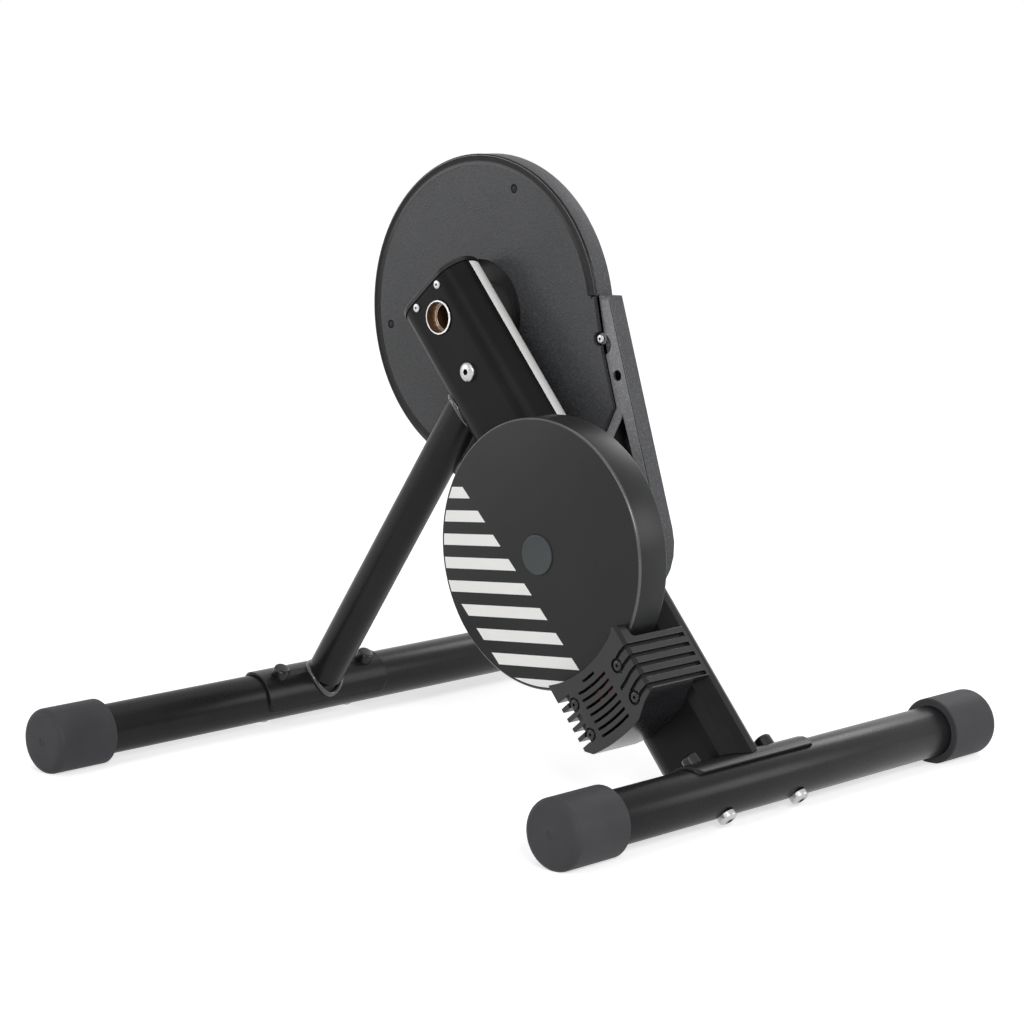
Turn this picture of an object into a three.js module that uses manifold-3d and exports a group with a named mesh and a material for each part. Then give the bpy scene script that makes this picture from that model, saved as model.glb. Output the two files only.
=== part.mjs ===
// Direct drive bike trainer: two floor bars, a leaning beam, a front strut, a belt casing round the
// axle, a flywheel and its brake. Lengths are in millimetres. +Z is up, +X is the rear of the bike,
// +Y runs along the axle to the drive side. The origin is on the floor under the middle.
import * as THREE from 'three';
import { mergeVertices } from 'three/addons/utils/BufferGeometryUtils.js';
import Module from 'manifold-3d';

const wasm = await Module();
wasm.setup();

// Shared fits
const CLEARANCE = 0.3;
const CUT_OVERRUN = 2;

// Round counts and angles
const WIDE_STEPS = 40;
const DRIVE_STEPS = 30;
const ROUND_STEPS = 20;
const SMALL_STEPS = 10;
const OVAL_STEPS = 8;
const EDGE_STEPS = 3;
const SPLINE_STEPS = 2;
const NUT_SIDES = 6;
const FULL_TURN = Math.PI * 2;
const HALF_TURN = Math.PI;
const QUARTER_TURN = Math.PI / 2;
const HALF_SHARE = 0.5;
const CROWN_SHARE = 0.6;
const SHOULDER_SHARE = 0.9;
const SHOULDER_RISE_SHARE = 0.35;
const degrees = THREE.MathUtils.degToRad;

// Stance
const AXLE_HEIGHT = 340;
const AXLE_SETBACK = 175.1;
const BAR_AXIS_HEIGHT = 24.6;

// Floor bars and their rubber caps
const BAR_DIAMETER = 38.7;
const BAR_WALL = 2.5;
const FRONT_FOOT_LENGTH = 611;
const REAR_FOOT_LENGTH = 472;
const CAP_DIAMETER = 50.4;
const CAP_LENGTH = 52.5;
const CAP_END_THICKNESS = 5;
const CAP_EDGE_ROUNDING = 6;

// Main beam
const BEAM_DEPTH = 78;
const BEAM_THICKNESS = 40;
const BEAM_WALL = 3;
const BEAM_CENTRE_Y = -33.5;
const BEAM_SHIFT = -1;
const BEAM_LEAD = 20.4;
const BEAM_TOP_REACH = 24.5;
const BEAM_FOOT_HEIGHT = 20.5;

// Beam end cap and its screws
const END_PLATE_THICKNESS = 4.7;
const END_PLATE_OVERHANG = 0.6;
const END_PLATE_EDGE = 1.6;
const END_PLUG_DEPTH = 9.5;
const END_SCREW_DEPTH = 20;
const END_SCREW_SPACING = 29.4;
const END_SCREW_HEAD_DIAMETER = 6.4;
const END_SCREW_HEAD_HEIGHT = 1.2;
const END_SCREW_SHANK_DIAMETER = 3.6;
const END_SCREW_LENGTH = 11;

// Large button head screw on the beam's near face
const FACE_SCREW_DISTANCE = 50.6;
const FACE_SCREW_HEAD_DIAMETER = 14.6;
const FACE_SCREW_HEAD_HEIGHT = 4.2;
const FACE_SCREW_SHANK_DIAMETER = 8;
const FACE_SCREW_LENGTH = 14;

// Front strut
const STRUT_DIAMETER = 30;
const STRUT_WALL = 2.5;
const STRUT_JOINT_DISTANCE = 49.5;
const STRUT_LEAD = 4.5;

// Saddles, leg bolts and domed nuts
const SADDLE_LENGTH = 128;
const SADDLE_THICKNESS = 2.5;
const SADDLE_CORNER_RADIUS = 7;
const FRONT_SADDLE_START = degrees(-25);
const FRONT_SADDLE_END = degrees(129);
const REAR_SADDLE_START = degrees(62);
const REAR_SADDLE_END = degrees(208);
const FRONT_BOLT_ANGLE = degrees(57);
const REAR_BOLT_ANGLE = degrees(134);
const FRONT_BOLT_SPACING = 91;
const REAR_BOLT_SPACING = 79.2;
const LEG_BOLT_DIAMETER = 8;
const LEG_HEAD_DIAMETER = 14;
const LEG_HEAD_REACH = 23.6;
const LEG_HEAD_DOME = 1.4;
const LEG_NUT_DIAMETER = 13.4;
const LEG_NUT_REACH = 26.8;
const LEG_NUT_DOME = 3.6;
const LEG_BOLT_REACH = 25.4;

// Axle tube
const AXLE_PROTRUSION = 1.7;
const DROPOUT_WIDTH = 130;
const AXLE_DIAMETER = 26.6;
const AXLE_MOUTH_BORE = 23.8;
const AXLE_MOUTH_DEPTH = 9;
const AXLE_INNER_BORE = 20;
const AXLE_THROUGH_BORE = 12.4;
const AXLE_MOUTH_BEVEL = 0.5;

// Belt casing: round part
const CASING_GAP = 5.1;
const RIM_DIAMETER = 244.7;
const SHELL_DIAMETER = 244.2;
const PLATE_DIAMETER = 228.2;
const PLATE_HOLE_DIAMETER = 84;
const COVER_THICKNESS = 3.6;
const COVER_BAND_DROP = 0.5;
const COVER_EDGE_ROUNDING = 0.8;
const COVER_SPIGOT_GAP = 0.6;
const COVER_LIP_HEIGHT = 1.7;
const CASING_DEPTH = 18;
const CASING_WALL = 3;
const FAR_BEVEL_DEPTH = 4.9;
const FAR_BEVEL_INSET = 7;
const FAR_WALL = 2.5;
const FAR_HOLE_DIAMETER = 54;
const CASING_SCREW_CIRCLE = 206;
const CASING_SCREW_ANGLES = [degrees(69.6), degrees(187.5), degrees(-54.5)];
const CASING_SCREW_HEAD_DIAMETER = 6.4;
const CASING_SCREW_HEAD_HEIGHT = 1.3;
const CASING_SCREW_SINK = 1.8;
const CASING_SCREW_SHANK_DIAMETER = 3;
const CASING_SCREW_LENGTH = 10;
const CASING_BOSS_DIAMETER = 8.6;

// Belt guard, measured along the beam from the axle and across it
const GUARD_WALL_DISTANCE = 130.3;
const GUARD_END_RADIUS = 46.4;
const GUARD_CORNER_DISTANCE = 68.6;
const GUARD_ROOT_DEPTH = 34;
const GUARD_FLANGE_SETBACK = 3.9;
const GUARD_FLANGE_THICKNESS = 2.5;
const WEB_EDGE = [[61.1, 102.7], [99, 81.6], [136.2, 64.9], [146, 41]];
const WEB_END_RADIUS = 28;
const WEB_EDGE_GAP = 0.6;
const WEB_DISC_DIAMETER = 232.4;
const WINDOW_CORNERS = [[143.8, 66.2], [151, 47], [175, 54]];
const WINDOW_BEVEL_WIDTH = 2.6;
const WINDOW_BEVEL_DEPTH = 1.5;
const FLANGE_BEVEL_WIDTH = 4.5;
const FLANGE_BEVEL_DEPTH = 1.6;
const SEAM_INSET = 0.5;
const SEAM_WIDTH = 0.9;
const SEAM_DEPTH = 0.9;
const GUARD_NOTCH_PLACE = [92.4, 84.6];
const GUARD_NOTCH_DIAMETER = 15.4;
const GUARD_NOTCH_DEPTH = 1.9;
const GUARD_HOLE_PLACE = [118.5, 81.1];
const GUARD_HOLE_DIAMETER = 7.6;
const GUARD_SCREW_PLACE = [88.4, 86.5];
const GUARD_POCKET_DIAMETER = 10;
const GUARD_SCREW_HEAD_DIAMETER = 6.8;
const GUARD_SCREW_HEAD_HEIGHT = 2.2;
const GUARD_SCREW_SHANK_DIAMETER = 3.4;
const GUARD_SCREW_LENGTH = 9;
const GUARD_BOSS_DIAMETER = 9;

// Studs that carry the casing on the beam
const STUD_DISTANCES = [118, 165];
const STUD_DIAMETER = 8;
const STUD_COLLAR_DIAMETER = 14;
const STUD_BEAM_GRIP = 5;
const STUD_CASING_GRIP = 12;
const STUD_POST_DIAMETER = 14;

// Belt drive
const BELT_START = 8.4;
const BELT_RIB_COUNT = 3;
const BELT_RIB_PITCH = 3;
const BELT_RIB_DEPTH = 1.8;
const BELT_RIB_CREST = 0.8;
const BELT_EDGE = 0.5;
const BELT_BODY = 1.6;
const DRIVE_PULLEY_DIAMETER = 187;
const FLYWHEEL_PULLEY_DIAMETER = 32;
const DRIVE_RIM_THICKNESS = 6;
const DRIVE_WEB_THICKNESS = 4;
const DRIVE_HUB_DIAMETER = 49;
const DRIVE_HUB_NEAR_GAP = 2.5;
const DRIVE_HUB_FAR_REACH = 2.5;
const DRIVE_HOLE_COUNT = 6;
const DRIVE_HOLE_DIAMETER = 30;
const DRIVE_HOLE_CIRCLE = 112;

// Pulley bearings
const PULLEY_BEARING_BORE = 25;
const PULLEY_BEARING_DIAMETER = 37;
const PULLEY_BEARING_WIDTH = 7;
const PULLEY_BEARING_INSET = 0.6;
const BEARING_SHOULDER = 2.5;

// Freehub
const FREEHUB_SPLINE_DIAMETER = 34.8;
const FREEHUB_SPLINE_LENGTH = 36.5;
const FREEHUB_SPLINE_DEPTH = 1.6;
const FREEHUB_SPLINE_COUNT = 9;
const FREEHUB_SPLINE_SHARE = 0.42;
const FREEHUB_FLANGE_DIAMETER = 41;
const FREEHUB_FLANGE_LENGTH = 4;
const FREEHUB_BODY_DIAMETER = 33;
const FREEHUB_INNER_BORE = 22;
const FREEHUB_END_RECESS = 4.8;
const FREEHUB_END_GAP = 0.8;
const FREEHUB_BEARING_BORE = 17;
const FREEHUB_BEARING_DIAMETER = 30;
const FREEHUB_BEARING_WIDTH = 7;
const END_CAP_DIAMETER = 25;
const END_CAP_COLLAR_DIAMETER = 21.5;
const END_CAP_FLANGE = 4;
const END_CAP_FACE = 2.5;
const END_CAP_COLLAR = 3;

// Flywheel
const FLYWHEEL_DISTANCE = 212.6;
const FLYWHEEL_DIAMETER = 199.8;
const FLYWHEEL_THICKNESS = 29.5;
const FLYWHEEL_GAP = 5;
const FLYWHEEL_EDGE_ROUNDING = 1.6;
const FLYWHEEL_DISH_DEPTH = 6;
const FLYWHEEL_DISH_DIAMETER = 164;
const FLYWHEEL_HUB_DIAMETER = 52;
const FLYWHEEL_BOSS_DIAMETER = 18;
const CENTRE_CAP_DIAMETER = 29.5;
const CENTRE_CAP_DEPTH = 2.2;
const CENTRE_CAP_RISE = 1.2;
const CENTRE_CAP_EDGE = 0.8;
const CENTRE_CAP_FIT = 0.3;
const SHAFT_HEAD_DIAMETER = 24;
const SHAFT_HEAD_HEIGHT = 5;
const SHAFT_DIAMETER = 12;
const SHAFT_BEARING_DIAMETER = 28;
const SHAFT_BEARING_WIDTH = 8;
const SLEEVE_WALL = 3;
const PULLEY_BOSS_DIAMETER = 18;
const SHAFT_NUT_FLATS = 17;
const SHAFT_NUT_HEIGHT = 5;
const SHAFT_END_MARGIN = 0.6;

// Brake housing, measured along the beam from the flywheel's axis and across it
const BRAKE_FRONT_OVERHANG = 12;
const BRAKE_NEAR_PLATE = 10;
const BRAKE_FAR_GAP = 1.2;
const BRAKE_LEFT = -42;
const BRAKE_RIGHT = 42;
const BRAKE_ARCH_RADIUS = 94.3;
const BRAKE_ARCH_RIGHT = 35.4;
const BRAKE_POST_TOP = 85.4;
const BRAKE_POST_EDGE = 1.6;
const BRAKE_SLOT_ROUNDING = 4;
const BRAKE_BACK_TOP = 96.6;
const BRAKE_SLOT_RADIUS = 105.4;
const BRAKE_BASE_RADIUS = 150.7;
const BRAKE_FOOT_GAP = 65.2;
const BRAKE_LOWER_RIGHT = [[138, 42], [140.4, 38.6], [142.8, 31], [149.4, 19]];
const BRAKE_LOWER_LEFT = -36;
const BRAKE_LEFT_FOOT = 140.4;
const BRAKE_SKIN = 4;
const BRAKE_CAVITY_LEFT = -31;
const BRAKE_CAVITY_RIGHT = 36.8;
const BRAKE_CAVITY_RADIUS = 146.6;
const BRAKE_CAVITY_LOWER_RIGHT = [[134.4, 36.8], [138.4, 29.6], [145.4, 16.5]];
const BRAKE_CAVITY_FOOT = 139.4;
const BRAKE_CAVITY_FOOT_LEFT = -27;
const BRAKE_LIP_START = 36.9;
const BRAKE_LIP_REACH = 17.6;
const BRAKE_EDGE_CUT = 2.4;

// Comb fins on the left edge and grooves on the right face
const COMB_GROOVE_COUNT = 5;
const COMB_GROOVE_START = 102.3;
const COMB_GROOVE_PITCH = 8.2;
const COMB_GROOVE_WIDTH = 5;
const COMB_GROOVE_DEPTH = 7.4;
const COMB_GROOVE_LENGTH = 18;
const COMB_RAMP_LENGTH = 7;
const COMB_RAMP_DEPTH = 2.8;
const RIB_GROOVE_COUNT = 5;
const RIB_GROOVE_START = 102.9;
const RIB_GROOVE_PITCH = 8.1;
const RIB_GROOVE_WIDTH = 3.2;
const RIB_GROOVE_DEPTH = 2.5;
const RIB_GROOVE_FAR_MARGIN = 3;
const FACE_GROOVE_DEPTH = 2.2;
const FACE_GROOVE_WIDTH = 2.6;
const FACE_GROOVE_BEND = [[0, 44], [-0.3, 39], [0.4, 33], [2, 28], [3.2, 24.4]];
const MIDDLE_GROOVE_TAIL = [[4, 20.5], [5, 17.4]];

// Curved vents
const VENT_RADII = [100.8, 107.1, 113, 119, 124.8, 130.7, 136.6, 142.3];
const VENT_WIDTH = 2;
const VENT_LEFT = -20;
const VENT_RIGHT = 12;
const SHORT_VENT_LEFT = -10.8;
const SHORT_VENT_RIGHT = 2.7;
const VENT_STEPS = 5;

// Brake screws
const BRAKE_SCREW_PLACES = [[108.7, -29.1], [133.8, -29.4], [108.9, 24.9], [135.1, 24.7]];
const BRAKE_BOSS_DIAMETER = 9;
const BRAKE_POCKET_DIAMETER = 11;
const BRAKE_SCREW_HEAD_DIAMETER = 7.4;
const BRAKE_SCREW_HEAD_HEIGHT = 2.2;
const BRAKE_SCREW_SINK = 2.4;
const BRAKE_SCREW_SHANK_DIAMETER = 4;
const BRAKE_SCREW_LENGTH = 20;

// Stator, coils and board
const STATOR_ANGLE = degrees(-1.3);
const STATOR_STEP = degrees(8);
const STATOR_COUNT = 3;
const STATOR_HALF_SPAN = degrees(11);
const STATOR_POLE_RADIUS = 101.4;
const STATOR_BACK_RADIUS = 121;
const STATOR_BACK_THICKNESS = 9;
const STATOR_POLE_WIDTH = 6.4;
const STATOR_THICKNESS = 20;
const STATOR_FAR_GAP = 7;
const COIL_START_RADIUS = 104.5;
const COIL_LENGTH = 15;
const COIL_WIDTH = 12;
const COIL_DEPTH = 26.6;
const BOARD_NEAR = 131.9;
const BOARD_FAR = 143.4;
const BOARD_LEFT = -23;
const BOARD_RIGHT = 18;
const BOARD_THICKNESS = 1.6;
const BOARD_FAR_GAP = 1.5;
const BOARD_PAD_PLACES = [[137.4, -17], [137.4, 12]];
const BOARD_PAD_DIAMETER = 6;
const BOARD_CHIPS = [[133.4, 137.4, -18, -8, 2.4], [134.4, 140.4, -3, 5, 3.2], [133.9, 137.9, 9, 14, 2]];

// Power inlet
const INLET_DISTANCE = 118.4;
const INLET_FAR_GAP = 9.5;
const INLET_BODY_DIAMETER = 10.6;
const INLET_FLANGE_DIAMETER = 14;
const INLET_FLANGE_THICKNESS = 1.8;
const INLET_BODY_LENGTH = 11;
const INLET_BORE_DIAMETER = 6.4;
const INLET_BORE_DEPTH = 9;
const INLET_PIN_DIAMETER = 2.2;

// Places worked out from the sizes above
const BEAM_LENGTH = FLYWHEEL_DISTANCE + BRAKE_BASE_RADIUS + BRAKE_FOOT_GAP;
const FOOT_SPAN = AXLE_SETBACK + Math.sqrt(BEAM_LENGTH ** 2 - (AXLE_HEIGHT - BAR_AXIS_HEIGHT) ** 2);
const AXLE_X = AXLE_SETBACK - FOOT_SPAN / 2;
const BAR_RADIUS = BAR_DIAMETER / 2;
const BEAM_NEAR_Y = BEAM_CENTRE_Y - BEAM_THICKNESS / 2;
const BEAM_FAR_Y = BEAM_CENTRE_Y + BEAM_THICKNESS / 2;
const NEAR_DROPOUT_Y = BEAM_NEAR_Y - AXLE_PROTRUSION;
const FAR_DROPOUT_Y = NEAR_DROPOUT_Y + DROPOUT_WIDTH;
const COVER_Y = BEAM_FAR_Y + CASING_GAP;
const SHELL_Y = COVER_Y + COVER_LIP_HEIGHT + CLEARANCE;
const FLANGE_Y = COVER_Y + GUARD_FLANGE_SETBACK;
const FAR_RIM_Y = COVER_Y + CASING_DEPTH;
const FAR_FACE_Y = FAR_RIM_Y + FAR_BEVEL_DEPTH;
const FLYWHEEL_FAR_Y = BEAM_NEAR_Y - FLYWHEEL_GAP;
const FLYWHEEL_NEAR_Y = FLYWHEEL_FAR_Y - FLYWHEEL_THICKNESS;
const BRAKE_NEAR_Y = FLYWHEEL_NEAR_Y - BRAKE_FRONT_OVERHANG;
const BRAKE_SLOT_NEAR_Y = BRAKE_NEAR_Y + BRAKE_NEAR_PLATE;
const BRAKE_SLOT_FAR_Y = FLYWHEEL_FAR_Y + BRAKE_FAR_GAP;
const BRAKE_FAR_Y = BEAM_NEAR_Y - CLEARANCE;
const BELT_NEAR_Y = COVER_Y + BELT_START;
const BELT_WIDTH = BELT_RIB_PITCH * BELT_RIB_COUNT + BELT_EDGE * 2;

// Directions: along the beam (down) and across it (up and to the rear)
const FRONT_BAR = new THREE.Vector2(-FOOT_SPAN / 2, BAR_AXIS_HEIGHT);
const REAR_BAR = new THREE.Vector2(FOOT_SPAN / 2, BAR_AXIS_HEIGHT);
const AXLE = new THREE.Vector2(AXLE_X, AXLE_HEIGHT);

// Direction from one place that passes another at a given side distance.
function aim(from, to, lead) {
  const span = to.clone().sub(from);
  const angle = span.angle() - Math.asin(lead / span.length());
  return new THREE.Vector2(Math.cos(angle), Math.sin(angle));
}

const ALONG = aim(AXLE, REAR_BAR, BEAM_LEAD);
const ACROSS = new THREE.Vector2(-ALONG.y, ALONG.x);
const STRUT_TOP = AXLE.clone().addScaledVector(ALONG, STRUT_JOINT_DISTANCE);
const STRUT_DIRECTION = aim(STRUT_TOP, FRONT_BAR, -STRUT_LEAD);
const FLYWHEEL_AXIS = AXLE.clone().addScaledVector(ALONG, FLYWHEEL_DISTANCE);

// Materials
function finish(color, roughness, metalness) {
  return new THREE.MeshStandardMaterial({ color, roughness, metalness });
}

const group = new THREE.Group();

function addNode(name, solid, material) {
  const mesh = new THREE.Mesh(geometryOf(solid), material);
  mesh.name = name;
  group.add(mesh);
}

// Closed solid of a geometry, facing out.
function solidOf(geometry) {
  geometry.deleteAttribute('normal');
  geometry.deleteAttribute('uv');
  const merged = mergeVertices(geometry);
  const positions = merged.attributes.position.array;
  const corners = [];
  for (let face = 0; face < merged.index.count; face += 3) {
    const [a, b, c] = [0, 1, 2].map((corner) => merged.index.getX(face + corner));
    if (a !== b && b !== c && c !== a) {
      corners.push(a, b, c);
    }
  }
  if (signedVolume(positions, corners) < 0) {
    corners.reverse();
  }
  const vertProperties = new Float32Array(positions);
  const triVerts = new Uint32Array(corners);
  return new wasm.Manifold(new wasm.Mesh({ numProp: 3, vertProperties, triVerts }));
}

function signedVolume(positions, corners) {
  const points = [new THREE.Vector3(), new THREE.Vector3(), new THREE.Vector3()];
  let total = 0;
  for (let face = 0; face < corners.length; face += 3) {
    points.forEach((point, corner) => point.fromArray(positions, corners[face + corner] * 3));
    total += points[0].dot(points[1].cross(points[2]));
  }
  return total;
}

function geometryOf(solid) {
  const mesh = solid.getMesh();
  const geometry = new THREE.BufferGeometry();
  geometry.setAttribute('position', new THREE.BufferAttribute(mesh.vertProperties, 3));
  geometry.setIndex(new THREE.BufferAttribute(mesh.triVerts, 1));
  geometry.computeVertexNormals();
  return geometry;
}

// A profile of [radius, place] pairs turned about a line along Y.
function turned(profile, centre, steps) {
  const points = profile.map(([radius, place]) => new THREE.Vector2(radius, place));
  const first = points[0];
  if (first.x > 0) {
    points.push(first.clone());
  }
  const geometry = new THREE.LatheGeometry(points, steps);
  geometry.translate(centre.x, 0, centre.y);
  return solidOf(geometry);
}

// Quarter of an ellipse for a profile, from an outer radius to an inner one.
function roundedEdge(inner, outer, base, rise) {
  return Array.from({ length: EDGE_STEPS + 1 }, (_, index) => {
    const angle = (QUARTER_TURN * index) / EDGE_STEPS;
    return [inner + (outer - inner) * Math.cos(angle), base + rise * Math.sin(angle)];
  });
}

// A plain round body along Y between two places.
function rod(diameter, centre, near, far, steps) {
  const radius = diameter / 2;
  return turned([[0, near], [radius, near], [radius, far], [0, far]], centre, steps);
}

// A profile of [radius, place] pairs turned about a line in the XZ plane that starts at a centre.
function turnedAlong(profile, centre, y, direction, steps) {
  const points = profile.map(([radius, place]) => new THREE.Vector2(radius, place));
  if (points[0].x > 0) {
    points.push(points[0].clone());
  }
  const geometry = new THREE.LatheGeometry(points, steps);
  const line = new THREE.Vector3(direction.x, 0, direction.y);
  const turn = new THREE.Quaternion().setFromUnitVectors(new THREE.Vector3(0, 1, 0), line);
  geometry.applyQuaternion(turn);
  geometry.translate(centre.x, y, centre.y);
  return solidOf(geometry);
}

// A flat outline in the XZ plane, drawn out along Y.
function slab(outline, near, far) {
  const geometry = new THREE.ExtrudeGeometry(new THREE.Shape(outline), {
    depth: far - near,
    bevelEnabled: false,
  });
  geometry.rotateX(QUARTER_TURN);
  geometry.translate(0, far, 0);
  return solidOf(geometry);
}

// Closed skin through outlines with the same number of points, one ring after another.
function skin(rings, closed) {
  const count = rings[0].length;
  const positions = rings.flat().flatMap((point) => point.toArray());
  const corners = [];
  const last = closed ? rings.length : rings.length - 1;
  for (let ring = 0; ring < last; ring += 1) {
    const next = (ring + 1) % rings.length;
    for (let side = 0; side < count; side += 1) {
      const ahead = (side + 1) % count;
      const a = ring * count + side;
      const b = ring * count + ahead;
      const c = next * count + ahead;
      const d = next * count + side;
      corners.push(a, b, c, a, c, d);
    }
  }
  if (!closed) {
    const flat = rings[0].map((point) => new THREE.Vector2(point.x, point.z));
    const top = (rings.length - 1) * count;
    for (const [a, b, c] of THREE.ShapeUtils.triangulateShape(flat, [])) {
      const same = turnsLeft([flat[a], flat[b], flat[c]]) === turnsLeft(flat);
      const [first, third] = same ? [a, c] : [c, a];
      corners.push(third, b, first, top + first, top + b, top + third);
    }
  }
  const geometry = new THREE.BufferGeometry();
  geometry.setAttribute('position', new THREE.Float32BufferAttribute(positions, 3));
  geometry.setIndex(corners);
  return solidOf(geometry);
}

function turnsLeft(outline) {
  return THREE.ShapeUtils.area(outline) > 0;
}

// Body between two outlines in the XZ plane at two places along Y.
function taper(nearOutline, near, farOutline, far) {
  const lift = (outline, y) => outline.map((point) => new THREE.Vector3(point.x, y, point.y));
  return skin([lift(nearOutline, near), lift(farOutline, far)], false);
}

// Points on an arc in the XZ plane.
function arc(centre, radius, start, end, steps) {
  return Array.from({ length: steps + 1 }, (_, index) => {
    const angle = start + ((end - start) * index) / steps;
    const place = new THREE.Vector2(Math.cos(angle), Math.sin(angle)).multiplyScalar(radius);
    return place.add(centre);
  });
}

// Place in the XZ plane from distances along and across the beam.
function beamPlace(along, across) {
  return AXLE.clone().addScaledVector(ALONG, along).addScaledVector(ACROSS, across);
}

// Flat outline in the plane square to a direction, drawn out along it. The outline's first value runs
// along Y, and its second one to the left of the direction.
function drawnAlong(outline, centre, y, direction, start, end) {
  const geometry = new THREE.ExtrudeGeometry(new THREE.Shape(outline), {
    depth: end - start,
    bevelEnabled: false,
  });
  const axes = new THREE.Matrix4().makeBasis(
    new THREE.Vector3(0, 1, 0),
    new THREE.Vector3(-direction.y, 0, direction.x),
    new THREE.Vector3(direction.x, 0, direction.y),
  );
  geometry.translate(0, 0, start);
  geometry.applyMatrix4(axes);
  geometry.translate(centre.x, y, centre.y);
  return solidOf(geometry);
}

// Rectangle with round corners about its middle.
function rectangle(width, height, radius) {
  const x = width / 2 - radius;
  const y = height / 2 - radius;
  if (radius === 0) {
    return [[x, y], [-x, y], [-x, -y], [x, -y]].map((pair) => new THREE.Vector2(...pair));
  }
  const corners = [[x, y], [-x, y], [-x, -y], [x, -y]];
  return corners.flatMap((pair, index) => {
    const start = index * QUARTER_TURN;
    return arc(new THREE.Vector2(...pair), radius, start, start + QUARTER_TURN, EDGE_STEPS);
  });
}

// Flat oval body that follows the beam between two distances from the axle.
function beamBody(inset, start, end) {
  const radius = BEAM_THICKNESS / 2 - inset;
  const reach = (BEAM_DEPTH - BEAM_THICKNESS) / 2;
  const ends = [[reach, 0], [-reach, HALF_TURN]];
  const oval = ends.flatMap(([middle, turn]) => {
    return arc(new THREE.Vector2(0, middle), radius, turn, turn + HALF_TURN, OVAL_STEPS);
  });
  return drawnAlong(oval, beamPlace(0, BEAM_SHIFT), BEAM_CENTRE_Y, ALONG, start, end);
}

function union(solids) {
  return solids.reduce((total, solid) => total.add(solid));
}

function without(solid, cuts) {
  return cuts.reduce((total, cut) => total.subtract(cut), solid);
}

// Everything below a height, as a cutting block.
function below(height, reach) {
  const corners = [[-reach, height - reach], [reach, height - reach], [reach, height], [-reach, height]];
  const outline = corners.map(([x, z]) => new THREE.Vector2(x, z));
  return slab(outline, -reach, reach);
}

// Colours
const blackSteel = finish(0x1c1d1f, 0.45, 0.6);
const blackPlastic = finish(0x232426, 0.6, 0);
const guardPlastic = finish(0x3b3d3f, 0.75, 0);
const rubber = finish(0x1d1d1e, 0.85, 0);
const silver = finish(0xb9bcc0, 0.3, 1);
const darkSteel = finish(0x3c3e41, 0.4, 0.9);
const bronze = finish(0x8a6f4d, 0.35, 0.9);
const beltRubber = finish(0x151516, 0.8, 0);
const castBlack = finish(0x2b2c2e, 0.55, 0.4);
const copper = finish(0x8f4a32, 0.4, 0.9);
const boardGreen = finish(0x1f4a33, 0.6, 0);
const grey = finish(0x4b5052, 0.6, 0);

// Floor bars, caps, saddles and leg bolts
const SADDLE_BORE = BAR_RADIUS + CLEARANCE;
const SADDLE_OUTER = SADDLE_BORE + SADDLE_THICKNESS;
const WELD_RADIUS = SADDLE_OUTER + CLEARANCE;

function pointing(angle) {
  return new THREE.Vector2(Math.cos(angle), Math.sin(angle));
}

function boltHoles(bar, angle, spacing) {
  const radius = LEG_BOLT_DIAMETER / 2 + CLEARANCE;
  const reach = SADDLE_OUTER + CUT_OVERRUN;
  const profile = [[0, -reach], [radius, -reach], [radius, reach], [0, reach]];
  return [-HALF_SHARE, HALF_SHARE].map((side) => {
    return turnedAlong(profile, bar, BEAM_CENTRE_Y + side * spacing, pointing(angle), SMALL_STEPS);
  });
}

function floorBar(bar, length, angle, spacing) {
  const reach = length / 2 - CAP_END_THICKNESS - CLEARANCE;
  const inner = BAR_RADIUS - BAR_WALL;
  const profile = [[inner, -reach], [BAR_RADIUS, -reach], [BAR_RADIUS, reach], [inner, reach]];
  return without(turned(profile, bar, ROUND_STEPS), boltHoles(bar, angle, spacing));
}

function footCap(bar, length, side) {
  const end = (length / 2) * side;
  const mouth = end - CAP_LENGTH * side;
  const stop = end - CAP_END_THICKNESS * side;
  const bore = BAR_RADIUS + CLEARANCE;
  const radius = CAP_DIAMETER / 2;
  const inner = radius - CAP_EDGE_ROUNDING;
  const edge = roundedEdge(inner, radius, end - CAP_EDGE_ROUNDING * side, CAP_EDGE_ROUNDING * side);
  const profile = [[0, stop], [bore, stop], [bore, mouth], [radius, mouth], ...edge, [0, end]];
  return turned(profile, bar, ROUND_STEPS).subtract(below(0, FOOT_SPAN));
}

function saddle(bar, start, end, angle, spacing) {
  const outer = arc(bar, SADDLE_OUTER, start, end, SMALL_STEPS);
  const inner = arc(bar, SADDLE_BORE, end, start, SMALL_STEPS);
  const near = BEAM_CENTRE_Y - SADDLE_LENGTH / 2;
  const plate = slab([...outer, ...inner], near, near + SADDLE_LENGTH);
  const width = SADDLE_OUTER * Math.sin((end - start) / 2) * 2 + CLEARANCE;
  const outline = rectangle(SADDLE_LENGTH, width, SADDLE_CORNER_RADIUS);
  const middle = pointing((start + end) / 2);
  const trimmed = plate.intersect(drawnAlong(outline, bar, BEAM_CENTRE_Y, middle, 0, CAP_DIAMETER));
  return without(trimmed, boltHoles(bar, angle, spacing));
}

function legBolt(bar, y, angle) {
  const direction = pointing(angle + HALF_TURN);
  const radius = LEG_HEAD_DIAMETER / 2;
  const shank = LEG_BOLT_DIAMETER / 2;
  const dome = roundedEdge(0, radius, LEG_HEAD_REACH, LEG_HEAD_DOME);
  const cope = rod((BAR_RADIUS + CLEARANCE) * 2, bar, y - radius * 2, y + radius * 2, WIDE_STEPS);
  const head = turnedAlong([[0, 0], [radius, 0], ...dome], bar, y, direction, SMALL_STEPS).subtract(cope);
  const tail = -LEG_BOLT_REACH;
  const stem = [[0, tail], [shank, tail], [shank, LEG_HEAD_REACH], [0, LEG_HEAD_REACH]];
  return head.add(turnedAlong(stem, bar, y, direction, SMALL_STEPS));
}

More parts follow.
